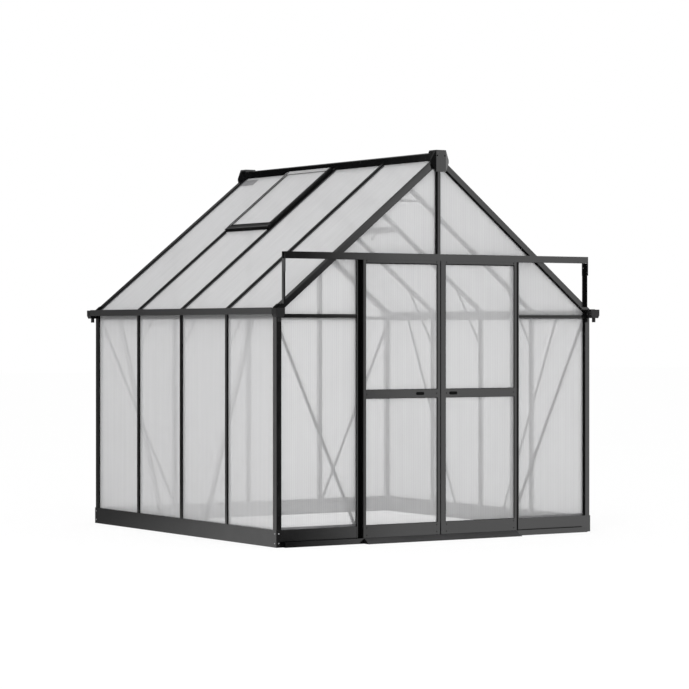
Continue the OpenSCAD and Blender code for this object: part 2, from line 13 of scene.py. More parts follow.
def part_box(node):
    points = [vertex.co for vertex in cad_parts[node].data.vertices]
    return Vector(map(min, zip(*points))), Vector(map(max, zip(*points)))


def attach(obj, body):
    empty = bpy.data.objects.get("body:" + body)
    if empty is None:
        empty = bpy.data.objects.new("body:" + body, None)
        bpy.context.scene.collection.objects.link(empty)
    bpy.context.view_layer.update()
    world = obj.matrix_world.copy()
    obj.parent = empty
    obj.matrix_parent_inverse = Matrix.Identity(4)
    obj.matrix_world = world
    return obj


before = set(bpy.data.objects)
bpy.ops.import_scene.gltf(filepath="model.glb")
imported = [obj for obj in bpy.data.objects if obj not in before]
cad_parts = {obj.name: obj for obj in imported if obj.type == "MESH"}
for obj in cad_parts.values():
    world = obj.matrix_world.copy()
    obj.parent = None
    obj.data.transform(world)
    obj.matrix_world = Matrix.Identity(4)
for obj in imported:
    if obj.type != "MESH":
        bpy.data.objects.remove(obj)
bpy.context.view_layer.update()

LOG = logging.getLogger("greenhouse")
MM = 0.001
Colour = tuple[float, float, float]
Triple = tuple[float, float, float]
Material = bpy.types.Material
Socket = bpy.types.NodeSocket

WHITE = (1.0, 1.0, 1.0, 1.0)
RIGHT = Vector((1.0, 0.0, 0.0))
BACK = Vector((0.0, 1.0, 0.0))
FRONT = Vector((0.0, -1.0, 0.0))
UP = Vector((0.0, 0.0, 1.0))
TINY = 1e-6


class Body(Enum):
    """The three bodies that pieces ride on."""

    FRAME = "frame"
    DOOR_LEFT = "door_left"
    DOOR_RIGHT = "door_right"


class Slot(Enum):
    """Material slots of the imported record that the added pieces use."""

    PAINT = "frame_paint"
    SHEET = "twinwall_sheet"
    PLASTIC = "black_plastic"
    ZINC = "runner_steel"


class Across(Enum):
    """Axis that a sheet's flutes are counted along."""

    X = 0
    Y = 1


class Edge(Enum):
    """Edges of a sheet that can sit in a bar's slot."""

    SIDES = "sides"
    TOP = "top"
    FOOT = "foot"
    SLOPE = "slope"


# Finishes


def shade(colour: Colour, factor: float) -> Colour:
    """Returns a colour made darker or lighter by a factor."""
    return tuple(factor * c for c in colour)


class NodeBench:
    """A node tree, with short calls to add and join nodes."""

    def __init__(self, owner: bpy.types.ID) -> None:
        """Clears the owner's nodes.

        Args:
            owner: Material or world that the nodes make.
        """
        self.owner = owner
        self.owner.use_nodes = True
        self.tree = self.owner.node_tree
        self.tree.nodes.clear()

    @classmethod
    def for_material(cls, name: str) -> "NodeBench":
        """Returns the bench of a new material."""
        return cls(bpy.data.materials.new(name))

    def add(self, kind: str, inputs: dict | None = None, **settings: object) -> bpy.types.Node:
        """Adds a node.

        Args:
            kind: The node's type without the ShaderNode prefix.
            inputs: Value or source socket for each named or numbered input.
            **settings: Properties of the node itself.

        Returns:
            The new node.
        """
        node = self.tree.nodes.new("ShaderNode" + kind)
        for key, value in settings.items():
            setattr(node, key, value)
        for key, value in (inputs or {}).items():
            if isinstance(value, Socket):
                self.tree.links.new(value, node.inputs[key])
            else:
                node.inputs[key].default_value = value
        return node

    def math(self, operation: str, first: Socket | float, second: Socket | float) -> Socket:
        """Joins two values by an operation."""
        return self.add("Math", {0: first, 1: second}, operation=operation).outputs[0]

    def place(self) -> Socket:
        """Returns the object's own coordinates, in metres."""
        return self.add("TexCoord").outputs["Object"]

    def noise(self, scale: float, detail: float, stretch: Triple = (1.0, 1.0, 1.0)) -> Socket:
        """Adds cloudy noise.

        Args:
            scale: Number of clouds in a metre.
            detail: Number of finer layers.
            stretch: Factor on each axis.

        Returns:
            The noise, from 0 to 1.
        """
        scaled = self.add("Mapping", {"Vector": self.place(), "Scale": stretch})
        made = self.add("TexNoise", {"Vector": scaled.outputs[0], "Scale": scale, "Detail": detail})
        return made.outputs["Fac"]

    def span(self, source: Socket, low: float, high: float, start: float = 0.3, end: float = 0.7) -> Socket:
        """Maps a value from start..end to low..high, held at both ends."""
        inputs = {"Value": source, "From Min": start, "From Max": end, "To Min": low, "To Max": high}
        return self.add("MapRange", inputs).outputs[0]

    def mixed(self, factor: Socket | float, first: bpy.types.Node, second: bpy.types.Node) -> bpy.types.Node:
        """Mixes two shaders by a factor."""
        return self.add("MixShader", {0: factor, 1: first.outputs[0], 2: second.outputs[0]})

    def tint(self, factor: Socket, low: Colour | Socket, high: Colour) -> Socket:
        """Mixes a plain or a linked colour with a plain one.

        Args:
            factor: Share of the second colour.
            low: First colour.
            high: Second colour.

        Returns:
            The mixed colour.
        """
        mix = self.add("Mix", data_type="RGBA")
        factor_in, low_in, high_in = mix.inputs[0], mix.inputs[6], mix.inputs[7]
        self.tree.links.new(factor, factor_in)
        if isinstance(low, Socket):
            self.tree.links.new(low, low_in)
        else:
            low_in.default_value = (*low, 1.0)
        high_in.default_value = (*high, 1.0)
        return mix.outputs[2]

    def worn_edges(self, radius: float, strength: float) -> Socket:
        """Finds sharp edges.

        Args:
            radius: How far wear reaches from an edge, in metres.
            strength: Wear on a full corner, from 0 to 1.

        Returns:
            Wear, broken up by noise.
        """
        soft = self.add("Bevel", {"Radius": radius}, samples=4)
        true = self.add("NewGeometry")
        inputs = {0: soft.outputs[0], 1: true.outputs["True Normal"]}
        dot = self.add("VectorMath", inputs, operation="DOT_PRODUCT")
        edge = self.span(dot.outputs["Value"], strength, 0.0, start=0.70, end=0.97)
        patch = self.span(self.noise(scale=60.0, detail=3.0), 0.2, 1.0, start=0.35, end=0.65)
        return self.math("MULTIPLY", edge, patch)

    def bump(self, height: Socket, strength: float, distance: float) -> Socket:
        """Returns the normal of a surface raised by a height of 0 to 1, times the distance in metres."""
        return self.add("Bump", {"Height": height, "Strength": strength, "Distance": distance}).outputs[0]

    def seen(self) -> Socket:
        """Finds the rays that show the background, straight, mirrored or through glass.

        Returns:
            1 for those rays, and 0 for scattered ones.
        """
        rays = self.add("LightPath").outputs
        total = rays["Is Camera Ray"]
        for kind, operation in (("Glossy", "MAXIMUM"), ("Transmission", "MAXIMUM"), ("Diffuse", "SUBTRACT")):
            inputs = {0: total, 1: rays[f"Is {kind} Ray"]}
            total = self.add("Math", inputs, operation=operation, use_clamp=True).outputs[0]
        return total

    def coat(self, inputs: dict) -> Material:
        """Joins a plain surface to the output and returns the material."""
        return self.finish(self.add("BsdfPrincipled", inputs))

    def finish(self, shader: bpy.types.Node) -> Material:
        """Joins the shader to the output and returns the material."""
        self.add("OutputMaterial", {"Surface": shader.outputs[0]})
        return self.owner


@dataclass(frozen=True)
class PowderCoat:
    """Satin powder coat on aluminium or steel, a little worn at its edges.

    Attributes:
        name: The material's name.
        colour: Colour of the coat.
        bare: Colour where an edge is worn.
        roughness: Mean roughness.
        wear: Wear on a full corner, from 0 to 1.
        ior: Refractive index of the coat.
    """

    name: str
    colour: Colour
    bare: Colour
    roughness: float
    wear: float
    ior: float = 1.5

    def make(self) -> Material:
        """Builds the coat's material.

        Returns:
            The material.
        """
        bench = NodeBench.for_material(self.name)
        cloud = bench.span(bench.noise(scale=2.5, detail=4.0), 0.0, 1.0)
        coat = bench.tint(cloud, shade(self.colour, 0.86), shade(self.colour, 1.14))
        coat = bench.tint(bench.worn_edges(1.2 * MM, self.wear), coat, self.bare)
        rough = bench.span(bench.noise(scale=9.0, detail=3.0), self.roughness - 0.02, self.roughness + 0.03)
        peel = bench.bump(bench.noise(scale=420.0, detail=1.0), strength=0.12, distance=0.25 * MM)
        return bench.coat({"Base Color": coat, "Roughness": rough, "Normal": peel, "IOR": self.ior})


@dataclass(frozen=True)
class TwinwallSheet:
    """See-through fluted plastic sheet, one skin for each face of a solid sheet.

    Attributes:
        name: The material's name.
        across: Axis that the flutes are counted along.
        clear: Share of light that goes straight through a skin that is met square on.
        colour: Colour of the scattered light.
        glow: Share of the scattered light that comes from behind.
        pitch: Distance between flutes, in metres.
        ior: Refractive index of the plastic.
    """

    name: str
    across: Across
    clear: float
    colour: Colour = (0.90, 0.90, 0.905)
    glow: float = 0.5
    pitch: float = 14 * MM
    ior: float = 1.585

    def flute_wave(self, bench: NodeBench) -> Socket:
        """Makes a wave across the flutes.

        Args:
            bench: The sheet's bench.

        Returns:
            1 on each flute's wall and 0 between.
        """
        axes = bench.add("SeparateXYZ", {0: bench.place()})
        turns = bench.math("DIVIDE", axes.outputs[self.across.value], self.pitch)
        swing = bench.math("PINGPONG", turns, 0.5)
        return bench.span(swing, 1.0, 0.0, start=0.0, end=0.14)

    def open_share(self, bench: NodeBench) -> Socket:
        """Finds how much light goes straight through a skin.

        Args:
            bench: The sheet's bench.

        Returns:
            The share, which falls as the skin is met at a slant.
        """
        slant = bench.add("LayerWeight", {"Blend": 0.5}).outputs["Facing"]
        path = bench.math("DIVIDE", 1.0, bench.math("SUBTRACT", 1.0, slant))
        return bench.math("POWER", self.clear, path)

    def make(self) -> Material:
        """Builds the sheet's material.

        Returns:
            The material.
        """
        bench = NodeBench.for_material(self.name)
        wave = self.flute_wave(bench)
        drawn = (1.0, 6.0, 0.15) if self.across is Across.Y else (6.0, 1.0, 0.15)
        streak = bench.span(bench.noise(scale=5.0, detail=3.0, stretch=drawn), 0.97, 1.03)
        cloud = bench.span(bench.noise(scale=1.3, detail=2.0), 0.0, 1.0)
        tint = bench.tint(cloud, shade(self.colour, 0.97), self.colour)
        height = bench.math("ADD", wave, bench.noise(scale=14.0, detail=2.0, stretch=drawn))
        normal = bench.bump(height, strength=0.15, distance=0.15 * MM)
        rough = bench.span(bench.noise(scale=4.0, detail=3.0), 0.16, 0.24)
        inputs = {"Base Color": tint, "Roughness": rough, "Normal": normal, "IOR": self.ior}
        skin = bench.add("BsdfPrincipled", inputs)
        lit = bench.add("BsdfTranslucent", {"Color": tint, "Normal": normal})
        body = bench.mixed(self.glow, skin, lit)
        closed = bench.math("SUBTRACT", 1.0, self.open_share(bench))
        walled = bench.math("ADD", closed, bench.span(wave, 0.0, 0.06, start=0.0, end=1.0))
        veil = bench.math("MULTIPLY", walled, streak)
        through = bench.add("BsdfTransparent", {"Color": WHITE})
        return bench.finish(bench.mixed(veil, through, body))


@dataclass(frozen=True)
class Moulded:
    """Moulded plastic or rubber with a fine grain.

    Attributes:
        name: The material's name.
        colour: Its colour.
        roughness: Mean roughness.
        grain: Number of grain bumps in a metre.
        scuff: Paleness of worn edges, from 0 to 1.
        ior: Refractive index.
    """

    name: str
    colour: Colour
    roughness: float
    grain: float
    scuff: float
    ior: float = 1.5

    def make(self) -> Material:
        """Builds the moulding's material.

        Returns:
            The material.
        """
        bench = NodeBench.for_material(self.name)
        cloud = bench.span(bench.noise(scale=7.0, detail=3.0), 0.0, 1.0)
        colour = bench.tint(cloud, shade(self.colour, 0.8), shade(self.colour, 1.2))
        worn = tuple(2.5 * c + 0.02 for c in self.colour)
        colour = bench.tint(bench.worn_edges(0.8 * MM, self.scuff), colour, worn)
        rough = bench.span(bench.noise(scale=16.0, detail=3.0), self.roughness - 0.06, self.roughness + 0.06)
        grain = bench.bump(bench.noise(scale=self.grain, detail=1.0), strength=0.2, distance=0.15 * MM)
        return bench.coat({"Base Color": colour, "Roughness": rough, "Normal": grain, "IOR": self.ior})


@dataclass(frozen=True)
class ZincPlate:
    """Zinc-plated steel with faint cloudy spangle.

    Attributes:
        name: The material's name.
        colour: Colour of the metal.
        roughness: Mean roughness.
    """

    name: str
    colour: Colour
    roughness: float

    def make(self) -> Material:
        """Builds the plating's material.

        Returns:
            The material.
        """
        bench = NodeBench.for_material(self.name)
        cells = bench.add("TexVoronoi", {"Vector": bench.place(), "Scale": 90.0}).outputs["Distance"]
        spangle = bench.span(cells, 0.0, 1.0, start=0.1, end=0.7)
        colour = bench.tint(spangle, shade(self.colour, 0.85), self.colour)
        colour = bench.tint(bench.worn_edges(0.6 * MM, 0.5), colour, shade(self.colour, 1.25))
        rough = bench.span(bench.noise(scale=40.0, detail=3.0), self.roughness - 0.08, self.roughness + 0.08)
        normal = bench.bump(bench.noise(scale=300.0, detail=2.0), strength=0.1, distance=0.1 * MM)
        return bench.coat({"Base Color": colour, "Roughness": rough, "Normal": normal, "Metallic": 1.0})


class Finishes:
    """Every finish of the greenhouse, made once."""

    def __init__(self) -> None:
        """Makes the materials."""
        worn = (0.05, 0.05, 0.05)
        self.paint = PowderCoat("charcoal_coat", (0.0038, 0.0038, 0.004), worn, roughness=0.15,
                                wear=0.3).make()
        self.steel = PowderCoat("base_coat", (0.0038, 0.0038, 0.004), worn, roughness=0.17,
                                wear=0.35, ior=1.52).make()
        self.gutter = PowderCoat("gutter_coat", (0.012, 0.012, 0.0125), worn, roughness=0.36,
                                 wear=0.3, ior=1.52).make()
        self.brace = PowderCoat("brace_coat", (0.013, 0.013, 0.0135), worn, roughness=0.32, wear=0.3).make()
        self.vent = PowderCoat("vent_coat", (0.003, 0.003, 0.0032), worn, roughness=0.42, wear=0.2).make()
        self.ramp = PowderCoat("ramp_coat", (0.042, 0.042, 0.043), worn, roughness=0.5, wear=0.3).make()
        self.sheet_x = TwinwallSheet("twinwall_ends", Across.X, clear=0.669).make()
        self.sheet_y = TwinwallSheet("twinwall_sides", Across.Y, clear=0.669).make()
        self.rib = TwinwallSheet("flute_walls", Across.Y, clear=0.88).make()
        self.plastic = Moulded("black_moulding", (0.010, 0.010, 0.0105), roughness=0.42,
                               grain=900.0, scuff=0.4).make()
        self.cap = Moulded("gutter_moulding", (0.009, 0.009, 0.0095), roughness=0.5, grain=700.0,
                           scuff=0.3, ior=1.32).make()
        self.grey = Moulded("grey_moulding", (0.22, 0.22, 0.225), roughness=0.6, grain=700.0,
                            scuff=0.2).make()
        # Black rubber, also used for strips of painted shade: the glazing seals, the right strut's band and
        # the doors' edge strips.
        self.rubber = Moulded("black_rubber_and_shade", (0.004, 0.004, 0.004), roughness=0.75, grain=600.0,
                              scuff=0.1, ior=1.15).make()
        self.bead = Moulded("grey_bead", (0.11, 0.11, 0.112), roughness=0.6, grain=700.0, scuff=0.2).make()
        self.lip = Moulded("soft_lip", (0.075, 0.075, 0.077), roughness=0.7, grain=600.0,
                           scuff=0.1, ior=1.3).make()
        # Near-black brush pile, which also paints the shade beside the doors' outer edges.
        self.brush = Moulded("brush_pile_and_shade", (0.002, 0.002, 0.002), roughness=0.9, grain=1500.0,
                             scuff=0.0, ior=1.08).make()
        self.zinc = ZincPlate("zinc_plate", (0.56, 0.56, 0.57), roughness=0.38).make()


# Mesh work


def axes_along(direction: Vector) -> Matrix:
    """Returns a rotation that turns Z to a direction."""
    return direction.to_track_quat("Z", "Y").to_matrix()


def mesh_object(name: str, mesh: bmesh.types.BMesh, material: Material) -> bpy.types.Object:
    """Puts a finished mesh in the scene.

    Args:
        name: Name of the new object.
        mesh: Its mesh, which is freed.
        material: Its finish.

    Returns:
        The new object.
    """
    data = bpy.data.meshes.new(name)
    mesh.to_mesh(data)
    mesh.free()
    data.materials.append(material)
    made = bpy.data.objects.new(name, data)
    bpy.context.scene.collection.objects.link(made)
    return made


@dataclass
class Piece:
    """One mesh under construction.

    Attributes:
        name: Name of the finished piece.
        body: Body that it rides on.
        slot: Material slot of the imported record; not used.
        material: Its finish.
        mesh: The mesh itself, empty at first.
    """

    name: str
    body: Body
    slot: Slot
    material: Material
    mesh: bmesh.types.BMesh = field(default_factory=bmesh.new)

    def hull(self, points: list[Vector], faces: list[tuple[int, ...]]) -> None:
        """Adds a closed solid.

        Args:
            points: Its corners.
            faces: Corner numbers of each face.
        """
        verts = [self.mesh.verts.new(p) for p in points]
        for face in faces:
            self.mesh.faces.new([verts[i] for i in face])

    def prism(self, outline: list[Vector], along: Vector) -> None:
        """Adds a flat outline pushed along a vector.

        Args:
            outline: Its corners, in order.
            along: The vector.
        """
        count = len(outline)
        points = outline + [p + along for p in outline]
        faces: list[tuple[int, ...]] = [tuple(range(count - 1, -1, -1)), tuple(range(count, 2 * count))]
        faces += [(i, (i + 1) % count, (i + 1) % count + count, i + count) for i in range(count)]
        self.hull(points, faces)

    def bar(self, start: Vector, end: Vector, side: Vector, width: float, out: Vector, depth: float) -> None:
        """Adds a straight bar.

        Args:
            start: Middle of one end, on the bar's inner face.
            end: Middle of the other end.
            side: Direction across the bar.
            width: Width across.
            out: Direction out of the inner face.
            depth: Depth along out.
        """
        half = side.normalized() * (width / 2)
        depth_v = out.normalized() * depth
        outline = [start - half, start + half, start + half + depth_v, start - half + depth_v]
        self.prism(outline, end - start)

    def lathe(self, profile: list[tuple[float, float]], at: Vector, axis: Vector, sides: int) -> None:
        """Adds a turned solid.

        Args:
            profile: Radius and height of each ring, from its foot to its top.
            at: Foot of the axis.
            axis: Direction of the axis.
            sides: Number of facets round it.
        """
        turn = axes_along(axis)
        rings = []
        for radius, height in profile:
            if radius < TINY:
                rings.append([self.mesh.verts.new(at + turn @ Vector((0.0, 0.0, height)))])
                continue
            angles = [2 * math.pi * i / sides for i in range(sides)]
            local = [Vector((radius * math.cos(a), radius * math.sin(a), height)) for a in angles]
            rings.append([self.mesh.verts.new(at + turn @ p) for p in local])
        for low, high in zip(rings, rings[1:]):
            for i in range(sides):
                j = (i + 1) % sides
                if len(low) == 1:
                    self.mesh.faces.new([low[0], high[j], high[i]])
                elif len(high) == 1:
                    self.mesh.faces.new([low[i], low[j], high[0]])
                else:
                    self.mesh.faces.new([low[i], low[j], high[j], high[i]])

    def bolt(self, at: Vector, axis: Vector, radius: float) -> None:
        """Adds a washer and a domed bolt head with a hollow in its crown.

        Args:
            at: Middle of the washer's foot.
            axis: Direction that the head points in.
            radius: Radius of the head.
        """
        r, sunk, rim, seat = radius, -0.4 * MM, 0.8 * MM, 1.1 * MM
        washer = [(0.0, sunk), (1.45 * r, sunk), (1.5 * r, 0.0), (1.5 * r, rim), (1.42 * r, seat)]
        head = [(r, seat), (r, 0.32 * r + seat), (0.85 * r, 0.55 * r + seat), (0.55 * r, 0.68 * r + seat)]
        hollow = [(0.45 * r, 0.68 * r + seat), (0.40 * r, 0.3 * r + seat), (0.0, 0.3 * r + seat)]
        self.lathe(washer + head + hollow, at, axis, 12)

    def done(self, bevel: float = 0.0) -> bpy.types.Object:
        """Turns the mesh into a piece of the greenhouse.

        Args:
            bevel: Width of the rounding on its edges, in metres.

        Returns:
            The piece, which rides on its body.
        """
        bmesh.ops.recalc_face_normals(self.mesh, faces=self.mesh.faces)
        piece = mesh_object(self.name, self.mesh, self.material)
        if bevel > 0.0:
            rounding = piece.modifiers.new("rounding", "BEVEL")
            rounding.width = bevel
            rounding.segments = 2
            rounding.limit_method = "ANGLE"
        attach(piece, self.body.value)
        LOG.info("%s: %d faces on %s", self.name, len(piece.data.polygons), self.body.value)
        return piece


def dress(material: Material, *nodes: str) -> None:
    """Gives CAD nodes a finish.

    Args:
        material: The finish.
        *nodes: Names of the nodes.
    """
    for name in nodes:
        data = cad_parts[name].data
        data.materials.clear()
        data.materials.append(material)
        data.polygons.foreach_set("material_index", [0] * len(data.polygons))
        LOG.info("%s: dressed with %s", name, material.name)


@dataclass
class Plan:
    """Main lines of the greenhouse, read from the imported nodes, in metres.

    Attributes:
        slope: Pitch of the roof.
        bar_w: Width of a bar.
        bar_d: Depth of a bar.
        bar_set: How far an end bar is set in from the end.
        cover: Depth of a bar in front of the sheets.
        end_d: Depth of a bar in the end walls.
        end_cover: Depth of an end bar in front of the sheets.
        half_w: Half the width of the base.
        front: Front face of the base.
        back: Back face of the base.
        base_top: Height of the base.
        mid_y: Middle between the two ends.
        pitch_y: Distance between side posts.
        ridge_z: Height of the roof's peak.
    """

    slope: float = math.radians(38.9)
    bar_w: float = 25 * MM
    bar_d: float = 30 * MM
    bar_set: float = 4 * MM
    cover: float = 10 * MM
    end_d: float = 44 * MM
    end_cover: float = 28 * MM
    half_w: float = field(init=False)
    front: float = field(init=False)
    back: float = field(init=False)
    base_top: float = field(init=False)
    mid_y: float = field(init=False)
    pitch_y: float = field(init=False)
    ridge_z: float = field(init=False)

    def __post_init__(self) -> None:
        """Reads the boxes of the base, the side posts and the rafters."""
        self.half_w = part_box("base_right")[1].x
        self.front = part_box("base_front")[0].y
        self.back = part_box("base_back")[1].y
        self.base_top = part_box("base_front")[1].z
        self.mid_y = (self.front + self.back) / 2
        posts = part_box("side_posts")
        self.pitch_y = (posts[1].y - posts[0].y - self.bar_w) / 2
        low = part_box("rafters")[0]
        end_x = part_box("rafters")[1].x
        under = low.z + self.bar_d / math.cos(self.slope)
        self.ridge_z = under + end_x * math.tan(self.slope)

    def post_ys(self) -> list[float]:
        """Returns the middle of each side post."""
        return [self.mid_y + i * self.pitch_y for i in (-1, 0, 1)]

    def down_to(self, x: float) -> float:
        """Returns how far down the slope a distance from the middle is."""
        return x / math.cos(self.slope)

    def down_slope(self, side: int) -> Vector:
        """Returns the direction down one side of the roof."""
        return Vector((side * math.cos(self.slope), 0.0, -math.sin(self.slope)))

    def off_slope(self, side: int) -> Vector:
        """Returns the direction out of one side of the roof."""
        return Vector((side * math.sin(self.slope), 0.0, math.cos(self.slope)))

    def on_slope(self, side: int, down: float, y: float, out: float) -> Vector:
        """Returns a place so far down a slope from the peak, at y along the ridge and so far off it."""
        return Vector((0.0, y, self.ridge_z)) + self.down_slope(side) * down + self.off_slope(side) * out

    def strip_down(self, piece: Piece, side: int, start: float, stop: float, y: float,
                   width: float, out: float, thick: float) -> None:
        """Adds a strip down a slope from start to stop, its middle at y and its foot out from the slope."""
        upper, lower = (self.on_slope(side, down, y, out) for down in (start, stop))
        piece.bar(upper, lower, BACK, width, self.off_slope(side), thick)

    def strip_along(self, piece: Piece, side: int, down: float, ends: tuple[float, float],
                    width: float, out: float, thick: float) -> None:
        """Adds a strip along a slope between two ends, its middle down from the peak and its foot out."""
        first, last = (self.on_slope(side, down, y, out) for y in ends)
        piece.bar(first, last, self.down_slope(side), width, self.off_slope(side), thick)


# Sub-assemblies


@dataclass
class SheetNode:
    """One CAD node of sheets.

    Attributes:
        node: The node's name.
        body: Body that it rides on.
        across: Axis that its flutes are counted along.
        lip: Depth of the metal in front of the sheet.
        held: Edges that sit in slots.
    """

    node: str
    body: Body
    across: Across
    lip: float
    held: frozenset[Edge]


@dataclass
class Panel:
    """One flat sheet, found as an island of a node's mesh.

    Attributes:
        normal: Direction out of its outer face.
        across: Unit vector across the flutes.
        along: Unit vector up the flutes.
        outline: Corners of the outer face as distances across and along, in order.
        face: Height of the outer face along the normal.
        thick: Thickness.
    """

    normal: Vector
    across: Vector
    along: Vector
    outline: list[tuple[float, float]]
    face: float
    thick: float

    def point(self, u: float, v: float, out: float) -> Vector:
        """Returns a point on the sheet, given its place across, along and out of the outer face."""
        return self.across * u + self.along * v + self.normal * (self.face + out)

    def cut(self, u: float) -> tuple[float, float] | None:
        """Finds where a line up the flutes enters and leaves the sheet.

        Args:
            u: Place of the line across the flutes.

        Returns:
            The lowest and highest place along the flutes, or None outside the sheet.
        """
        found = []
        count = len(self.outline)
        for i in range(count):
            (u0, v0), (u1, v1) = self.outline[i], self.outline[(i + 1) % count]
            if (u0 - u) * (u1 - u) < 0.0:
                found.append(v0 + (v1 - v0) * (u - u0) / (u1 - u0))
        return (min(found), max(found)) if len(found) > 1 else None


def convex(points: list[tuple[float, float]]) -> list[tuple[float, float]]:
    """Finds the tightest convex outline round some points.

    Args:
        points: The points.

    Returns:
        Its corners, counterclockwise.
    """
    todo = sorted({(round(u, 5), round(v, 5)) for u, v in points})

    def chain(items: list[tuple[float, float]]) -> list[tuple[float, float]]:
        """Walks along one side of the outline.

        Args:
            items: The points in order.

        Returns:
            The corners of that side, without its last one.
        """
        out: list[tuple[float, float]] = []
        for p in items:
            while len(out) > 1:
                (ax, ay), (bx, by) = out[-2], out[-1]
                if (bx - ax) * (p[1] - ay) - (by - ay) * (p[0] - ax) > 1e-9:
                    break
                out.pop()
            out.append(p)
        return out[:-1]

    return chain(todo) + chain(todo[::-1])


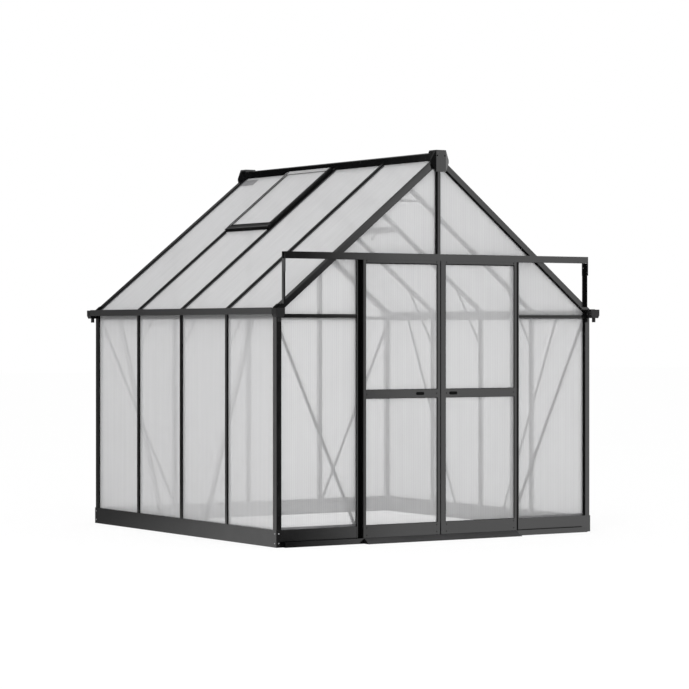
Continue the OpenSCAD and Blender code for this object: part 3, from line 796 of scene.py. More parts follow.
@dataclass
class Glazing:
    """Sheets, with the flute walls inside them and the black rubber seals round them, which also paint the
    shade in the reveals beside the bars.

    Attributes:
        plan: Main lines of the greenhouse.
        finishes: The finishes.
        pitch: Distance between flute walls.
        wall: Thickness of a flute wall.
        skin: Thickness of a sheet's skins.
        slot: How far a sheet enters a slot.
        seal_w: Width of a seal on the sheet.
        seal_low: How far a seal stays below the bar's face.
        seal_lift: Height of a seal's foot off its sheet.
        end_gap: Distance from a flute wall's end to the sheet's edge.
        shortest: Length of the shortest flute wall.
        near: Distance under which two places count as one.
        door_cover: Depth of a door's bars in front of its sheets.
        vent_cover: Depth of a vent's bars in front of its sheet.
    """

    plan: Plan
    finishes: Finishes
    pitch: float = 14 * MM
    wall: float = 0.5 * MM
    skin: float = 0.6 * MM
    slot: float = 8 * MM
    seal_w: float = 2.2 * MM
    seal_low: float = 1.5 * MM
    seal_lift: float = 0.05 * MM
    end_gap: float = 1 * MM
    shortest: float = 10 * MM
    near: float = 0.1 * MM
    door_cover: float = 7 * MM
    vent_cover: float = 6 * MM

    def nodes(self) -> list[SheetNode]:
        """Lists the nodes of sheets.

        Returns:
            One entry for each node, with its body, its flutes' axis and how its sheets are held.
        """
        sides = frozenset((Edge.SIDES,))
        low = frozenset((Edge.SIDES, Edge.TOP))
        ends, walls = self.plan.end_cover, self.plan.cover
        found = [SheetNode("side_wall_sheets", Body.FRAME, Across.Y, walls, sides)]
        found += [SheetNode(name, Body.FRAME, Across.X, ends, low)
                  for name in ("front_wall_sheets", "back_wall_sheets")]
        found += [SheetNode(name, Body.FRAME, Across.X, ends, frozenset(Edge))
                  for name in ("gable_sheets_front", "gable_sheets_back")]
        found += [SheetNode(name, Body.FRAME, Across.Y, walls, sides)
                  for name in ("roof_sheets_left", "roof_sheets_right")]
        found.append(SheetNode("vent_sheets", Body.FRAME, Across.Y, self.vent_cover, frozenset()))
        found += [SheetNode(body.value + "_sheets", body, Across.X, self.door_cover, frozenset(Edge))
                  for body in (Body.DOOR_LEFT, Body.DOOR_RIGHT)]
        return found

    def panels(self, node: SheetNode) -> list[Panel]:
        """Finds the flat sheets of a node.

        Args:
            node: The node.

        Returns:
            One panel for each sheet.
        """
        work = bmesh.new()
        work.from_mesh(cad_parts[node.node].data)
        bmesh.ops.remove_doubles(work, verts=work.verts, dist=TINY)
        left = set(work.faces)
        found = []
        for first in work.faces:
            if first not in left:
                continue
            left.remove(first)
            island, todo = [], [first]
            while todo:
                face = todo.pop()
                island.append(face)
                for edge in face.edges:
                    for other in edge.link_faces:
                        if other in left:
                            left.remove(other)
                            todo.append(other)
            found.append(self.panel(node, island))
        work.free()
        return found

    def panel(self, node: SheetNode, island: list[bmesh.types.BMFace]) -> Panel:
        """Measures one sheet.

        Args:
            node: The node that it belongs to.
            island: Its faces.

        Returns:
            The panel.
        """
        points = [v.co.copy() for f in island for v in f.verts]
        middle = sum(points, Vector()) / len(points)
        normal = max(island, key=lambda f: f.calc_area()).normal.copy()
        roof_lift = 0.5 if abs(normal.z) > 0.2 else 0.0
        away = Vector((middle.x, middle.y - self.plan.mid_y, roof_lift))
        if normal.dot(away) < 0.0:
            normal.negate()
        across = RIGHT if node.across is Across.X else BACK
        along = normal.cross(across).normalized()
        if along.z < 0.0:
            along.negate()
        heights = [p.dot(normal) for p in points]
        face, thick = max(heights), max(heights) - min(heights)
        outer = [(p.dot(across), p.dot(along)) for p in points if p.dot(normal) > face - self.near]
        return Panel(normal, across, along, convex(outer), face, thick)

    def flutes(self, piece: Piece, panel: Panel) -> None:
        """Adds the flute walls of one sheet.

        Args:
            piece: Mesh that takes them.
            panel: The sheet.
        """
        low = min(u for u, _ in panel.outline)
        high = max(u for u, _ in panel.outline)
        count = int((high - low) / self.pitch)
        start = (low + high - (count - 1) * self.pitch) / 2
        for i in range(count):
            u = start + i * self.pitch
            span = panel.cut(u)
            if span is None or span[1] - span[0] < self.shortest:
                continue
            foot = panel.point(u, span[0] + self.end_gap, self.skin - panel.thick)
            head = panel.point(u, span[1] - self.end_gap, self.skin - panel.thick)
            piece.bar(foot, head, panel.across, self.wall, panel.normal, panel.thick - 2 * self.skin)

    def seals(self, piece: Piece, panel: Panel, node: SheetNode) -> None:
        """Adds the black rubber seals on the outer face of one sheet, which also paint the shade in the
        reveals beside the bars.

        Args:
            piece: Mesh that takes them.
            panel: The sheet.
            node: The node that it belongs to.
        """
        outline = panel.outline
        count = len(outline)
        foot_v = min(v for _, v in outline)
        lines = []
        for i in range(count):
            (u0, v0), (u1, v1) = outline[i], outline[(i + 1) % count]
            span = math.hypot(u1 - u0, v1 - v0)
            inward = ((v0 - v1) / span, (u1 - u0) / span)
            if abs(u1 - u0) < self.near:
                kind = Edge.SIDES
            elif abs(v1 - v0) < self.near:
                kind = Edge.FOOT if abs(v0 - foot_v) < self.near else Edge.TOP
            else:
                kind = Edge.SLOPE
            shift = self.slot if kind in node.held else 0.0
            start = (u0 + inward[0] * shift, v0 + inward[1] * shift)
            lines.append((*start, (u1 - u0) / span, (v1 - v0) / span, kind))
        inner = self.corners(lines, 0.0)
        inset = self.corners(lines, self.seal_w)
        for i in range(count):
            kind = lines[i][4]
            if kind not in node.held:
                continue
            j = (i + 1) % count
            ring = [inner[i], inner[j], inset[j], inset[i]]
            lifted = [panel.point(u, v, self.seal_lift) for u, v in ring]
            # Black rubber seal standing up to the bar's face: partly a real seal, partly painted shade in
            # the bar's reveal.
            piece.prism(lifted, panel.normal * (node.lip - self.seal_low))

    def corners(self, lines: list[tuple], inset: float) -> list[tuple[float, float]]:
        """Finds where neighbouring edge lines meet.

        Args:
            lines: A point, a direction and a kind for each edge.
            inset: How far all lines move inward first.

        Returns:
            The start corner of each edge.
        """
        moved = [(u - dv * inset, v + du * inset, du, dv) for u, v, du, dv, _ in lines]
        out = []
        for i, (u, v, du, dv) in enumerate(moved):
            pu, pv, pdu, pdv = moved[i - 1]
            cross = pdu * dv - pdv * du
            t = ((u - pu) * dv - (v - pv) * du) / cross
            out.append((pu + pdu * t, pv + pdv * t))
        return out

    def build(self) -> None:
        """Dresses the sheets and makes their flute walls and seals."""
        for node in self.nodes():
            sheet = self.finishes.sheet_x if node.across is Across.X else self.finishes.sheet_y
            dress(sheet, node.node)
            walls = Piece(node.node + "_flutes", node.body, Slot.SHEET, self.finishes.rib)
            rubber = Piece(node.node + "_seals", node.body, Slot.PLASTIC, self.finishes.rubber)
            for panel in self.panels(node):
                self.flutes(walls, panel)
                self.seals(rubber, panel, node)
            walls.done()
            if node.held:
                rubber.done()
            else:
                rubber.mesh.free()


@dataclass
class BaseFrame:
    """Folded base rails and the bolts at their corners.

    Attributes:
        plan: Main lines of the greenhouse.
        finishes: The finishes.
        bolt_in: Distance of the bolts from a corner.
        bolt_zs: Heights of the bolts.
        side_bolt_r: Radius of the bolt heads on the long sides.
        end_bolt_r: Radius of the bolt heads on the ends.
    """

    plan: Plan
    finishes: Finishes
    bolt_in: float = 18 * MM
    bolt_zs: tuple[float, float] = (26 * MM, 88 * MM)
    side_bolt_r: float = 3.0 * MM
    end_bolt_r: float = 3.4 * MM

    def build(self) -> None:
        """Dresses the rails and sets their corner bolts."""
        dress(self.finishes.steel, "base_front", "base_back", "base_left", "base_right")
        bolts = Piece("base_bolts", Body.FRAME, Slot.ZINC, self.finishes.zinc)
        p = self.plan
        for z in self.bolt_zs:
            for side in (-1, 1):
                for y, out in ((p.front, FRONT), (p.back, BACK)):
                    at = Vector((side * p.half_w, y - out.y * self.bolt_in, z))
                    bolts.bolt(at, RIGHT * side, self.side_bolt_r)
                    if side * out.y > 0.0:
                        at = Vector((side * (p.half_w - self.bolt_in), y, z))
                        bolts.bolt(at, out, self.end_bolt_r)
        bolts.done()


@dataclass
class WallFrame:
    """Posts, jambs, eave bars and the braces between them.

    Attributes:
        plan: Main lines of the greenhouse.
        finishes: The finishes.
        bead_xs: Where a bead starts and stops, from the middle.
        bead_w: Width of a bead.
        bead_t: Thickness of a bead.
        bead_drop: Distance of a bead under the middle of its bar.
        strap_t: Thickness of the braces.
        bolt_in: Distance of a bolt from a brace's end.
        bolt_r: Radius of the bolt heads.
        side_shares: Places of a side brace's foot and head, in post distances from the middle.
        end_xs: Places of an end brace's foot and head, from the middle.
        head_drop: How far the bolt in an end brace's head is below that in a side brace's.
        tie_in: Distance of a bolt from a tie's end.
    """

    plan: Plan
    finishes: Finishes
    bead_xs: tuple[float, float] = (0.632, 1.2)
    bead_w: float = 6 * MM
    bead_t: float = 0.5 * MM
    bead_drop: float = 1 * MM
    strap_t: float = 3 * MM
    bolt_in: float = 14 * MM
    bolt_r: float = 3.5 * MM
    side_shares: tuple[float, float] = (0.5, 1.49)
    end_xs: tuple[float, float] = (0.637, 1.199)
    head_drop: float = 23 * MM
    tie_in: float = 40 * MM

    def build(self) -> None:
        """Dresses the bars and the braces."""
        dress(self.finishes.paint, "corner_posts", "side_posts", "back_posts", "door_jambs", "king_post",
              "eave_bars", "door_header", "eave_beams")
        dress(self.finishes.brace, "wall_braces", "knee_braces", "collar_ties")
        self.bolts()
        self.beads()

    def beads(self) -> None:
        """Makes the rubber beads along the middle of the eave bars."""
        low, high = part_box("eave_bars")
        beads = Piece("eave_bar_beads", Body.FRAME, Slot.PLASTIC, self.finishes.rubber)
        z = (low.z + high.z) / 2 - self.bead_drop
        for y, out in ((low.y, FRONT), (high.y, BACK)):
            for side in (-1, 1):
                start, stop = (Vector((side * x, y, z)) for x in self.bead_xs)
                beads.bar(start, stop, UP, self.bead_w, out, self.bead_t)
        beads.done()

    def bolts(self) -> None:
        """Sets a bolt at each end of the braces and the ties."""
        p = self.plan
        bolts = Piece("brace_bolts", Body.FRAME, Slot.ZINC, self.finishes.zinc)
        low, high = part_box("wall_braces")
        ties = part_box("collar_ties")
        zs = (low.z + self.bolt_in, high.z - self.bolt_in)
        drops = (0.0, self.head_drop)
        for side in (-1, 1):
            inner_x = side * (high.x - self.strap_t)
            for end, out in ((-1, BACK), (1, FRONT)):
                for share, z in zip(self.side_shares, zs):
                    at = Vector((inner_x, p.mid_y + end * share * p.pitch_y, z))
                    bolts.bolt(at, RIGHT * -side, self.bolt_r)
                inner_y = low.y + self.strap_t if end < 0 else high.y - self.strap_t
                for x, z, drop in zip(self.end_xs, zs, drops):
                    bolts.bolt(Vector((side * x, inner_y, z - drop)), out, self.bolt_r)
            for y in p.post_ys():
                bolts.bolt(Vector((side * (ties[1].x - self.tie_in), y, ties[0].z)), -UP, self.bolt_r)
        bolts.done()


@dataclass
class RoofFrame:
    """Ridge, rafters and what is fitted to them.

    Attributes:
        plan: Main lines of the greenhouse.
        finishes: The finishes.
        bevel: Rounding of the mouldings' edges.
        plug: How far a rafter's plug starts inside its end, and stands out of it.
        plug_foot: Depth of the plug's foot under the slope.
        plug_t: Depth of the plug.
        plug_play: How much narrower a plug is than its rafter.
        lip_w: Width of a glazing lip.
        lip_t: Thickness of a glazing lip.
        lip_top: Where the lips start, down the slope.
        lip_x: Where the lips stop, from the middle.
        lip_gap: Gap between a vent's foot and the lips below it.
        shoe_narrow: How much narrower a shoe is than its rafter.
        shoe_proud: How far a shoe stands out of the rafter's end.
        shoe_gap: Gap between a shoe and its rafter.
        shoe_top: Length and depth of the part of a shoe on top of the rafter.
        shoe_end: Height of the foot, and depth, of the part on its end.
        screw_x: Distance of the cap screws from the middle.
        screw_r: Radius of their heads.
        plate_down: Where the middle of the joint plate is, down the slope.
        plate_in: Where it starts and stops, from the back of the base.
        plate_w: Its width.
        plate_t: Its thickness.
        plate_bevel: Rounding of its edges.
    """

    plan: Plan
    finishes: Finishes
    bevel: float = 0.8 * MM
    plug: tuple[float, float] = (1 * MM, 3 * MM)
    plug_foot: float = 27 * MM
    plug_t: float = 28 * MM
    plug_play: float = 1 * MM
    lip_w: float = 21 * MM
    lip_t: float = 2.4 * MM
    lip_top: float = 42 * MM
    lip_x: float = 1.236
    lip_gap: float = 1 * MM
    shoe_narrow: float = 4 * MM
    shoe_proud: float = 3 * MM
    shoe_gap: float = 0.2 * MM
    shoe_top: tuple[float, float] = (34 * MM, 5 * MM)
    shoe_end: tuple[float, float] = (-20 * MM, 25 * MM)
    screw_x: float = 30 * MM
    screw_r: float = 3.4 * MM
    plate_down: float = 94 * MM
    plate_in: tuple[float, float] = (248 * MM, 40 * MM)
    plate_w: float = 66 * MM
    plate_t: float = 1.2 * MM
    plate_bevel: float = 0.4 * MM

    def build(self) -> None:
        """Dresses the roof's bars and adds their plugs, lips, shoes, screws and joint plate."""
        dress(self.finishes.paint, "ridge_beam", "gable_rafters", "rafters", "ridge_caps")
        self.plugs()
        self.lips()
        self.shoes()
        self.cap_screws()
        self.joint_plate()

    def plugs(self) -> None:
        """Makes the moulded plugs in the lower ends of the rafters."""
        p = self.plan
        plugs = Piece("rafter_plugs", Body.FRAME, Slot.PLASTIC, self.finishes.plastic)
        end = p.down_to(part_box("rafters")[1].x)
        inside, proud = self.plug
        width = p.bar_w - self.plug_play
        for side in (-1, 1):
            for y in p.post_ys():
                p.strip_down(plugs, side, end - inside, end + proud, y, width, -self.plug_foot, self.plug_t)
        plugs.done(self.bevel)

    def lips(self) -> None:
        """Makes the soft grey lips that lie on the roof sheets along both sides of every rafter."""
        p = self.plan
        lips = Piece("glazing_lips", Body.FRAME, Slot.PLASTIC, self.finishes.lip)
        low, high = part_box("vent_frames")
        vent_foot = p.down_to(high.x) + self.lip_gap
        gable_in = p.end_d + p.bar_set
        lines = [(y + side * p.bar_w / 2, side) for y in p.post_ys() for side in (-1, 1)]
        lines += [(p.front + gable_in, 1), (p.back - gable_in, -1)]
        for side in (-1, 1):
            for y, away in lines:
                at = y + away * self.lip_w / 2
                under_vent = low.y - self.lip_w < at < high.y + self.lip_w
                top = vent_foot if under_vent else self.lip_top
                p.strip_down(lips, side, top, p.down_to(self.lip_x), at, self.lip_w, -p.cover, self.lip_t)
        lips.done(self.bevel)

    def shoes(self) -> None:
        """Makes the rubber shoes on the lower ends of the gable rafters."""
        p = self.plan
        low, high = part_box("gable_rafters")
        shoes = Piece("gable_shoes", Body.FRAME, Slot.PLASTIC, self.finishes.rubber)
        end = p.down_to(high.x)
        stop, width = end + self.shoe_proud, p.end_d - self.shoe_narrow
        top_l, top_t = self.shoe_top
        parts = ((end - top_l, self.shoe_gap, top_t), (end + self.shoe_gap, *self.shoe_end))
        for side in (-1, 1):
            for y in (low.y + p.end_d / 2, high.y - p.end_d / 2):
                for start, foot, depth in parts:
                    p.strip_down(shoes, side, start, stop, y, width, foot, depth)
        shoes.done(self.bevel)

    def cap_screws(self) -> None:
        """Sets the screws in the front and the back of the ridge caps."""
        low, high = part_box("ridge_caps")
        screws = Piece("ridge_cap_screws", Body.FRAME, Slot.PLASTIC, self.finishes.rubber)
        for x in (-self.screw_x, self.screw_x):
            for y, out in ((low.y, FRONT), (high.y, BACK)):
                screws.bolt(Vector((x, y, self.plan.ridge_z)), out, self.screw_r)
        screws.done()

    def joint_plate(self) -> None:
        """Makes the joint plate beside the back ridge cap, on the left slope."""
        p = self.plan
        plate = Piece("ridge_joint_plate", Body.FRAME, Slot.PLASTIC, self.finishes.grey)
        start, stop = (p.back - y for y in self.plate_in)
        p.strip_along(plate, -1, self.plate_down, (start, stop), self.plate_w, -p.cover, self.plate_t)
        plate.done(self.plate_bevel)


@dataclass
class RoofVents:
    """Seals, beads, hinges, latches and sheet flaps of the roof vents.

    Attributes:
        plan: Main lines of the greenhouse.
        finishes: The finishes.
        rise: Height of a vent's frame.
        gap: Gap between a fitting and the frame.
        head: Where the strips start, down the slope.
        foot_in: Distance of the seal across the foot bar from the foot.
        foot_seal_w: Width of that seal.
        bead_in: Distance of the bead on the foot bar from the foot.
        bead_w: Width of that bead.
        strip_t: Thickness of that seal and that bead.
        end_in: How far both stay from the foot bar's ends.
        nose_in: How much lower the rubber on the foot bar's end face is than the frame.
        nose_t: Thickness of that rubber.
        line_in: Distance of the middle of the back bar's seal from the back.
        line_w: Width of that seal.
        line_t: Its thickness.
        flap_t: Thickness of the sheet flaps.
        head_flap: Distance of the head bar's flap from the front, and where it stops down the slope.
        inner_flap: Where the flap on the back bar's inner edge starts and stops, from the back.
        inner_foot: Distance of its lower end from the foot.
        outer_flap: Where the flap on the back bar's outer edge starts and stops, from the back.
        outer_foot: Distance of its lower end from the foot.
        hinge_in: Distance of a hinge's middle from a corner.
        hinge_down: Where the hinges are, down the slope.
        hinge_r: Radius of a hinge.
        hinge_l: Length of a hinge.
        hinge_edge: Width of the chamfer on its ends.
        hinge_sunk: How far its middle lies below the frame's top.
        latch_in: Distance of a latch from the foot.
        latch_gap: Gap between a latch's arm and the frame.
        latch_l: Distance of the arm's lower end from the frame.
        latch_w: Width of the arm.
        latch_t: Its thickness.
        bevel: Rounding of the latches' and hinges' edges.
    """

    plan: Plan
    finishes: Finishes
    rise: float = 26 * MM
    gap: float = 0.2 * MM
    head: float = 39 * MM
    foot_in: float = 44 * MM
    foot_seal_w: float = 8 * MM
    bead_in: float = 9 * MM
    bead_w: float = 4 * MM
    strip_t: float = 1 * MM
    end_in: float = 2 * MM
    nose_in: float = 1 * MM
    nose_t: float = 0.8 * MM
    line_in: float = 17.1 * MM
    line_w: float = 18 * MM
    line_t: float = 1.6 * MM
    flap_t: float = 1.2 * MM
    head_flap: tuple[float, float] = (27 * MM, 72 * MM)
    inner_flap: tuple[float, float] = (31 * MM, 26.3 * MM)
    inner_foot: float = 50 * MM
    outer_flap: tuple[float, float] = (8 * MM, 0.5 * MM)
    outer_foot: float = 14 * MM
    hinge_in: float = 120 * MM
    hinge_down: float = 36 * MM
    hinge_r: float = 4.5 * MM
    hinge_l: float = 50 * MM
    hinge_edge: float = 0.5 * MM
    hinge_sunk: float = 2 * MM
    latch_in: float = 20 * MM
    latch_gap: float = 1 * MM
    latch_l: float = 60 * MM
    latch_w: float = 12 * MM
    latch_t: float = 3 * MM
    bevel: float = 0.3 * MM

    def build(self) -> None:
        """Dresses the vents' frames and adds their fittings."""
        dress(self.finishes.vent, "vent_frames")
        self.seals()
        self.hinges()
        self.flaps()

    def seals(self) -> None:
        """Makes the rubber on the foot and back bars, and the bead on the foot bar."""
        p = self.plan
        low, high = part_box("vent_frames")
        top = self.rise - p.cover + self.gap
        foot = p.down_to(high.x) - top * math.tan(p.slope)
        ends = (low.y + self.end_in, high.y - self.end_in)
        seals = Piece("vent_seals", Body.FRAME, Slot.PLASTIC, self.finishes.rubber)
        beads = Piece("vent_beads", Body.FRAME, Slot.PAINT, self.finishes.bead)
        for side in (-1, 1):
            start, stop = (p.on_slope(side, foot, y, top - self.rise / 2) for y in (low.y, high.y))
            nose_w = self.rise - self.nose_in
            seals.bar(start, stop, p.off_slope(side), nose_w, p.down_slope(side), self.nose_t)
            p.strip_along(seals, side, foot - self.foot_in, ends, self.foot_seal_w, top, self.strip_t)
            p.strip_along(beads, side, foot - self.bead_in, ends, self.bead_w, top, self.strip_t)
            line = high.y - self.line_in
            p.strip_down(seals, side, self.head, foot - self.foot_in, line, self.line_w, top, self.line_t)
        seals.done()
        beads.done()

    def hinges(self) -> None:
        """Makes the hinges on the head bar and the latch under the foot bar."""
        p = self.plan
        low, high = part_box("vent_frames")
        top = self.rise - p.cover + self.gap
        foot = p.down_to(high.x) - top * math.tan(p.slope)
        metal = Piece("vent_hinges", Body.FRAME, Slot.PAINT, self.finishes.vent)
        r, long, edge = self.hinge_r, self.hinge_l, self.hinge_edge
        barrel = [(0.0, 0.0), (r - edge, 0.0), (r, edge), (r, long - edge), (r - edge, long), (0.0, long)]
        knob_mm = ((0, 0), (9, 0), (10, 2), (10, 10), (8, 12), (0, 12))
        knob = [(radius * MM, height * MM) for radius, height in knob_mm]
        middle = (low.y + high.y) / 2
        for side in (-1, 1):
            for y in (low.y + self.hinge_in, high.y - self.hinge_in):
                at = p.on_slope(side, self.hinge_down, y - long / 2, top - self.hinge_sunk)
                metal.lathe(barrel, at, BACK, 14)
            under = top - self.rise
            upper, lower = (p.on_slope(side, foot - self.latch_in, middle, under - drop)
                            for drop in (self.latch_gap, self.latch_l))
            metal.bar(upper, lower, p.down_slope(side), self.latch_w, BACK, self.latch_t)
            metal.lathe(knob, lower, -p.off_slope(side), 18)
        metal.done(self.bevel)

    def flaps(self) -> None:
        """Makes the thin sheet flaps that cover the vents' head bar and both edges of their back bar."""
        p = self.plan
        low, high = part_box("vent_frames")
        flaps = Piece("vent_flaps", Body.FRAME, Slot.SHEET, self.finishes.sheet_y)
        top = self.rise - p.cover + 2 * self.gap
        foot = p.down_to(high.x)
        front_in, head_foot = self.head_flap
        inner, line_edge = (high.y - back for back in self.inner_flap)
        outer, outer_edge = (high.y - back for back in self.outer_flap)
        strips = ((self.head, head_foot, low.y + front_in, line_edge),
                  (head_foot + self.gap, foot - self.inner_foot, inner, line_edge),
                  (self.head, foot - self.outer_foot, outer, outer_edge))
        for side in (-1, 1):
            for start, stop, near, far in strips:
                p.strip_down(flaps, side, start, stop, (near + far) / 2, far - near, top, self.flap_t)
        flaps.done()


@dataclass
class Gutters:
    """Eaves gutters and their end caps.

    Attributes:
        finishes: The finishes.
    """

    finishes: Finishes

    def build(self) -> None:
        """Dresses the gutters and their caps."""
        dress(self.finishes.gutter, "gutters")
        dress(self.finishes.cap, "gutter_end_caps")


@dataclass
class DoorFront:
    """Track, struts, guide rail and ramp that the doors run on.

    Attributes:
        plan: Main lines of the greenhouse.
        finishes: The finishes.
        gap: Gap between a fitting and its neighbours.
        sill_xs: Where a sill seal starts and stops, from the middle.
        sill_up: Height of its middle above the base.
        sill_h: Its height.
        sill_t: Its thickness.
        brush_w: Width of a brush strip.
        holder_at: Distance of a holder's middle from the door's edge.
        holder_w: Width of a holder.
        proud: How far the brushes stand in front of the base.
        bevel: Rounding of the holders' edges.
        ramp_in: How far a ramp end stays inside the ramp's front and top.
        ramp_t: Thickness of a ramp end.
        shade_band_w: Width of the black band of painted shade on the right strut.
        shade_band_d: Its depth.
        shade_band_in: Distance of its front from the track's.
        shade_band_up: Distance of its foot from the strut's.
        shade_band_drop: Distance of its top from the strut's.
    """

    plan: Plan
    finishes: Finishes
    gap: float = 0.5 * MM
    sill_xs: tuple[float, float] = (0.63, 1.2)
    sill_up: float = 7 * MM
    sill_h: float = 13 * MM
    sill_t: float = 1 * MM
    brush_w: float = 22 * MM
    holder_at: float = 25.5 * MM
    holder_w: float = 7 * MM
    proud: float = 2 * MM
    bevel: float = 0.3 * MM
    ramp_in: tuple[float, float] = (2 * MM, 1 * MM)
    ramp_t: float = 0.8 * MM
    shade_band_w: float = 3.2 * MM
    shade_band_d: float = 6 * MM
    shade_band_in: float = 15 * MM
    shade_band_up: float = 1 * MM
    shade_band_drop: float = 84 * MM

    def build(self) -> None:
        """Dresses the fixed parts of the door front and adds their seals, brushes, black ramp ends and a
        band of painted shade.
        """
        dress(self.finishes.paint, "door_track", "track_struts", "guide_rail")
        dress(self.finishes.ramp, "threshold_ramp")
        self.sill_seals()
        self.jamb_brushes_and_shade()
        self.ramp_ends()
        self.strut_shade_band()

    def sill_seals(self) -> None:
        """Makes the grey seals at the feet of the front sheets."""
        y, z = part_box("front_wall_sheets")[0].y, self.plan.base_top + self.sill_up
        seals = Piece("sill_seals", Body.FRAME, Slot.PLASTIC, self.finishes.grey)
        for side in (-1, 1):
            start, stop = (Vector((side * x, y, z)) for x in self.sill_xs)
            seals.bar(start, stop, UP, self.sill_h, FRONT, self.sill_t)
        seals.done()

    def jamb_brushes_and_shade(self) -> None:
        """Makes the near-black brush strips on the jambs that the doors run past, which also paint the shade
        beside the doors' outer edges, and their holders.
        """
        # The brushes are real brush strips and also painted shade in the gap beside each door's outer edge.
        brushes = Piece("jamb_brushes_and_shade", Body.FRAME, Slot.PLASTIC, self.finishes.brush)
        holders = Piece("jamb_brush_holders", Body.FRAME, Slot.PAINT, self.finishes.paint)
        front, base_top = self.plan.front, self.plan.base_top
        jamb_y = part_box("door_jambs")[0].y
        foot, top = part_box("guide_rail")[1].z + self.gap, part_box("door_track")[0].z - self.gap
        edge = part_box("door_right_stiles")[1].x
        spans = ((front, foot, base_top, self.proud), (jamb_y, base_top, top, jamb_y - front + self.proud))
        strips = ((brushes, edge + self.brush_w / 2, self.brush_w),
                  (holders, edge + self.holder_at, self.holder_w))
        for side in (-1, 1):
            for y, low, high, depth in spans:
                for piece, x, width in strips:
                    start, stop = (Vector((side * x, y, z)) for z in (low, high))
                    piece.bar(start, stop, RIGHT, width, FRONT, depth)
        brushes.done()
        holders.done(self.bevel)

    def ramp_ends(self) -> None:
        """Makes the black triangles on the ramp's ends."""
        low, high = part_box("threshold_ramp")
        ends = Piece("ramp_ends", Body.FRAME, Slot.PLASTIC, self.finishes.rubber)
        front_in, top_in = self.ramp_in
        corners = ((low.y + front_in, self.gap), (high.y, self.gap), (high.y, high.z - top_in))
        for side in (-1, 1):
            outline = [Vector((side * high.x, y, z)) for y, z in corners]
            ends.prism(outline, RIGHT * (side * self.ramp_t))
        ends.done()

    def strut_shade_band(self) -> None:
        """Makes a black band on the right strut that paints the shade on its inner faces."""
        low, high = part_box("track_struts")
        x, y = high.x - self.shade_band_w / 2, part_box("door_track")[0].y + self.shade_band_in
        # Painted shade: the black rubber finish stands for the shade on the strut's inner faces.
        shade_band = Piece("strut_edge_strip", Body.FRAME, Slot.PLASTIC, self.finishes.rubber)
        foot, head = (Vector((x, y, z)) for z in (low.z + self.shade_band_up, high.z - self.shade_band_drop))
        shade_band.bar(foot, head, RIGHT, self.shade_band_w, FRONT, self.shade_band_d)
        shade_band.done()


@dataclass
class SlidingDoor:
    """One sliding door with its handle and runners.

    Attributes:
        finishes: The finishes.
        body: Body of the door.
        strip_w: Width of the strip of painted shade on the outer stile.
        bead_w: Width of the strip of painted shade on the top rail.
        strip_t: Thickness of both.
        bead_drop: Distance of the top rail's strip from the rail's top.
        end_gap: Distance of the strips' ends from the bars' ends.
        screw_in: Distance of the screws from the rails' ends.
        screw_ups: Heights of the bottom rail's screws above its foot.
        screw_drop: Distance of the top screws from the top rail's top.
        screw_r: Radius of the screw heads.
    """

    finishes: Finishes
    body: Body
    strip_w: float = 6 * MM
    bead_w: float = 5 * MM
    strip_t: float = 0.6 * MM
    bead_drop: float = 28 * MM
    end_gap: float = 1 * MM
    screw_in: float = 6 * MM
    screw_ups: tuple[float, float] = (24 * MM, 70 * MM)
    screw_drop: float = 14 * MM
    screw_r: float = 2.4 * MM

    def build(self) -> None:
        """Dresses the door and adds its screws and its strips of painted shade."""
        name = self.body.value
        dress(self.finishes.paint, name + "_stiles", name + "_rails")
        dress(self.finishes.rubber, name + "_handle")
        dress(self.finishes.zinc, name + "_runners")
        self.screws()
        self.edge_shade_strips()

    def edge_shade_strips(self) -> None:
        """Makes the black strips on the front of the outer stile and the top rail, which paint the shade
        beside the door's outer edge and the shade line under the track.
        """
        name = self.body.value
        low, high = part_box(name + "_stiles")
        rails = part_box(name + "_rails")
        x = high.x - self.strip_w / 2 if self.body is Body.DOOR_RIGHT else low.x + self.strip_w / 2
        # Painted shade: black rubber finish on thin strips along the outer stile's edge and along the top
        # rail.
        strip = Piece(name + "_edge_strip", self.body, Slot.PLASTIC, self.finishes.rubber)
        foot, head = (Vector((x, low.y, z)) for z in (low.z + self.end_gap, high.z - self.end_gap))
        strip.bar(foot, head, RIGHT, self.strip_w, FRONT, self.strip_t)
        z = rails[1].z - self.bead_drop
        start, stop = (Vector((x, low.y, z)) for x in (rails[0].x + self.end_gap, rails[1].x - self.end_gap))
        strip.bar(start, stop, UP, self.bead_w, FRONT, self.strip_t)
        strip.done()

    def screws(self) -> None:
        """Sets the screws that hold the rails to the stiles."""
        name = self.body.value
        low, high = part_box(name + "_rails")
        screws = Piece(name + "_screws", self.body, Slot.PLASTIC, self.finishes.rubber)
        middle = sum(v.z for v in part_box(name + "_handle")) / 2
        zs = [low.z + up for up in self.screw_ups] + [middle, high.z - self.screw_drop]
        for x in (low.x + self.screw_in, high.x - self.screw_in):
            for z in zs:
                screws.bolt(Vector((x, low.y, z)), FRONT, self.screw_r)
        screws.done()


@dataclass(frozen=True)
class TentPanel:
    """One bright panel on the tent's wall.

    Attributes:
        start: Where its light starts, in degrees from the middle of the door end, to the right.
        end: Where it stops.
        soft: How far the light fades on each side of start and end, in degrees.
        low: Height of its foot, in metres.
        high: Height of its top, in metres.
        light: Brightness.
        turned: Counts from the middle of the back instead, to the left as seen from the doors.
    """

    start: float
    end: float
    soft: float
    low: float
    high: float
    light: float
    turned: bool


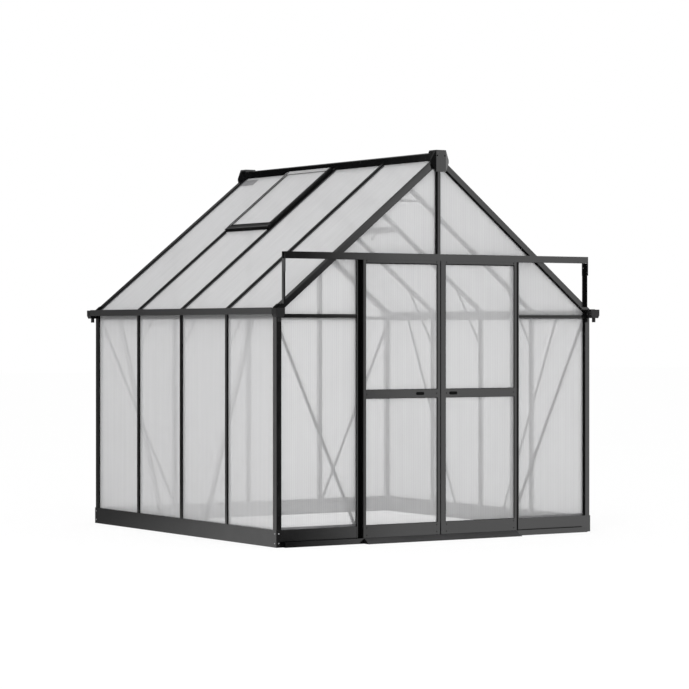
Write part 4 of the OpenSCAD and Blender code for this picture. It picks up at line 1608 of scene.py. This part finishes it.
@dataclass
class Studio:
    """Camera, floor, soft light and the tent that the paint mirrors.

    Attributes:
        plan: Main lines of the greenhouse.
        yaw: Turn of the camera.
        lens: Its focal length, in millimetres.
        shift: Its shift to the right and up, in picture widths.
        stand: Its place from the middle of the door end, to the right, to the front and up.
        floor_half: Half the width of the floor.
        floor_sunk: Depth of the floor below the base.
        floor_share: Share of the floor that shows as plain light.
        floor_light: Brightness of that light.
        tent_r: Radius of the tent.
        tent_dark: Light of the tent's wall between its panels.
        dome: Light of its roof.
        dome_from: Height where the roof starts.
        dome_soft: How far its light fades below and above that height.
        fade: How far the panels' light fades above and below their ends.
        panels: Its bright panels.
        lamp_at: Place of the lamp.
        lamp_w: Width of the lamp.
        lamp_power: Power of the lamp, in watts.
    """

    plan: Plan
    yaw: float = math.radians(32.45)
    lens: float = 134.70
    shift: tuple[float, float] = (-0.0000726, -0.0203193)
    stand: Triple = (-9.580, 13.909, 1.367)
    floor_half: float = 60.0
    floor_sunk: float = 0.5 * MM
    floor_share: float = 0.8
    floor_light: float = 1.06
    tent_r: float = 6.0
    tent_dark: float = 0.01
    dome: float = 0.28
    dome_from: float = 4.1
    dome_soft: float = 0.5
    fade: float = 0.1
    panels: tuple[TentPanel, ...] = (
        TentPanel(19.9, 112.0, 3.6, -20.0, 3.6, 1.88, False),
        TentPanel(-9.0, 3.5, 2.0, -20.0, 3.6, 0.9, False),
        TentPanel(-70.0, -24.0, 5.0, -20.0, 3.6, 1.0, False),
        TentPanel(44.2, 125.0, 3.2, -0.2, 2.45, 1.14, True),
        TentPanel(45.5, 125.0, 5.0, 2.45, 3.6, 0.9, True),
        TentPanel(38.0, 125.0, 5.5, -20.0, -0.2, 1.14, True),
        TentPanel(-60.0, 37.0, 3.0, -20.0, 2.3, 0.17, True),
        TentPanel(-60.0, 20.0, 6.0, -20.0, 2.3, 0.8, True),
    )
    lamp_at: Triple = (-5.0, -7.0, 8.0)
    lamp_w: float = 6.0
    lamp_power: float = 260.0

    def camera(self) -> None:
        """Sets up the camera, level and turned towards the left front corner."""
        data = bpy.data.cameras.new("camera")
        data.lens = self.lens
        data.sensor_width = 36.0
        data.shift_x, data.shift_y = self.shift
        data.clip_end = 200.0
        camera = bpy.data.objects.new("camera", data)
        right, ahead, up = self.stand
        camera.location = (right, self.plan.front - ahead, up)
        camera.rotation_euler = (math.pi / 2, 0.0, -self.yaw)
        bpy.context.scene.collection.objects.link(camera)
        bpy.context.scene.camera = camera

    def world(self) -> None:
        """Makes the soft white surroundings."""
        world = bpy.data.worlds.new("studio")
        world.cycles.sampling_method = "NONE"
        bpy.context.scene.world = world
        bench = NodeBench(world)
        white = bench.add("Background", {"Color": WHITE})
        soft = bench.add("Background", {"Color": (0.90, 0.90, 0.90, 1.0)})
        shown = bench.mixed(bench.seen(), soft, white)
        bench.add("OutputWorld", {"Surface": shown.outputs[0]})

    def floor(self) -> None:
        """Lays the pale floor, which keeps the greenhouse's soft shadow."""
        bench = NodeBench.for_material("pale_floor")
        cloud = bench.span(bench.noise(scale=0.6, detail=2.0), 0.0, 1.0)
        colour = bench.tint(cloud, (0.79, 0.79, 0.79), (0.81, 0.81, 0.81))
        matt = bench.add("BsdfDiffuse", {"Color": colour})
        glow = bench.add("Emission", {"Color": WHITE, "Strength": self.floor_light})
        shown = bench.mixed(self.floor_share, matt, glow)
        material = bench.finish(bench.mixed(bench.seen(), matt, shown))
        mesh = bmesh.new()
        half = self.floor_half
        corners = ((-half, -half), (half, -half), (half, half), (-half, half))
        mesh.faces.new([mesh.verts.new((x, y, 0.0)) for x, y in corners])
        floor = mesh_object("studio_floor", mesh, material)
        floor.location = (0.0, 0.0, -self.floor_sunk)
        floor.visible_glossy = False

    def panel(self, bench: NodeBench, panel: TentPanel) -> Socket:
        """Adds a bright panel to the tent's wall.

        Args:
            bench: Node tree of the tent.
            panel: The panel.

        Returns:
            The panel's light at each place.
        """
        axes = bench.add("SeparateXYZ", {0: bench.place()}).outputs
        sign = -1.0 if panel.turned else 1.0
        x = bench.math("MULTIPLY", axes[0], sign)
        y = bench.math("MULTIPLY", axes[1], -sign)
        angle = bench.math("ARCTAN2", x, y)
        start, end, soft = (math.radians(v) for v in (panel.start, panel.end, panel.soft))
        total = bench.span(angle, 0.0, panel.light, start - soft, start + soft)
        fall = bench.span(angle, 1.0, 0.0, end - soft, end + soft)
        over = bench.span(axes[2], 0.0, 1.0, panel.low - self.fade, panel.low + self.fade)
        under = bench.span(axes[2], 1.0, 0.0, panel.high - self.fade, panel.high + self.fade)
        for factor in (fall, over, under):
            total = bench.math("MULTIPLY", total, factor)
        return total

    def tent(self) -> None:
        """Stands a dark tent with bright panels round the scene, which only mirrored rays see."""
        bench = NodeBench.for_material("dark_tent")
        height = bench.add("SeparateXYZ", {0: bench.place()}).outputs[2]
        start, end = self.dome_from - self.dome_soft, self.dome_from + self.dome_soft
        total = bench.span(height, self.tent_dark, self.dome, start, end)
        for panel in self.panels:
            total = bench.math("ADD", total, self.panel(bench, panel))
        material = bench.finish(bench.add("Emission", {"Strength": total}))
        r = self.tent_r
        wall = Piece("studio_tent", Body.FRAME, Slot.PAINT, material)
        profile = [(0.0, -r), (r, -0.6 * r), (r, 0.8 * r), (0.7 * r, 1.3 * r), (0.0, 1.6 * r)]
        wall.lathe(profile, Vector(), UP, 96)
        tent = mesh_object(wall.name, wall.mesh, material)
        tent.visible_camera = False
        tent.visible_diffuse = False
        tent.visible_transmission = False
        tent.visible_shadow = False

    def lamp(self) -> None:
        """Hangs one large soft lamp to the front left, above the roof."""
        data = bpy.data.lights.new("soft_lamp", "AREA")
        data.shape = "RECTANGLE"
        data.size = self.lamp_w
        data.size_y = self.lamp_w
        data.energy = self.lamp_power
        lamp = bpy.data.objects.new("soft_lamp", data)
        lamp.location = self.lamp_at
        aim = Vector((0.0, self.plan.mid_y, 1.0)) - lamp.location
        lamp.rotation_euler = aim.to_track_quat("-Z", "Y").to_euler()
        lamp.visible_camera = False
        lamp.visible_glossy = False
        bpy.context.scene.collection.objects.link(lamp)

    def build(self) -> None:
        """Sets up the whole studio."""
        scene = bpy.context.scene
        scene.view_settings.view_transform = "Standard"
        scene.cycles.transparent_max_bounces = 32
        self.camera()
        self.world()
        self.floor()
        self.tent()
        self.lamp()


def main() -> None:
    """Builds the studio and dresses every sub-assembly."""
    logging.basicConfig(level=logging.INFO, format="%(name)s: %(message)s")
    plan = Plan()
    finishes = Finishes()
    assemblies = (
        Studio(plan), BaseFrame(plan, finishes), WallFrame(plan, finishes), RoofFrame(plan, finishes),
        RoofVents(plan, finishes), Gutters(finishes), Glazing(plan, finishes), DoorFront(plan, finishes),
        SlidingDoor(finishes, Body.DOOR_LEFT), SlidingDoor(finishes, Body.DOOR_RIGHT),
    )
    for assembly in assemblies:
        assembly.build()
        LOG.info("%s is built", type(assembly).__name__)


if __name__ == "__main__":
    main()
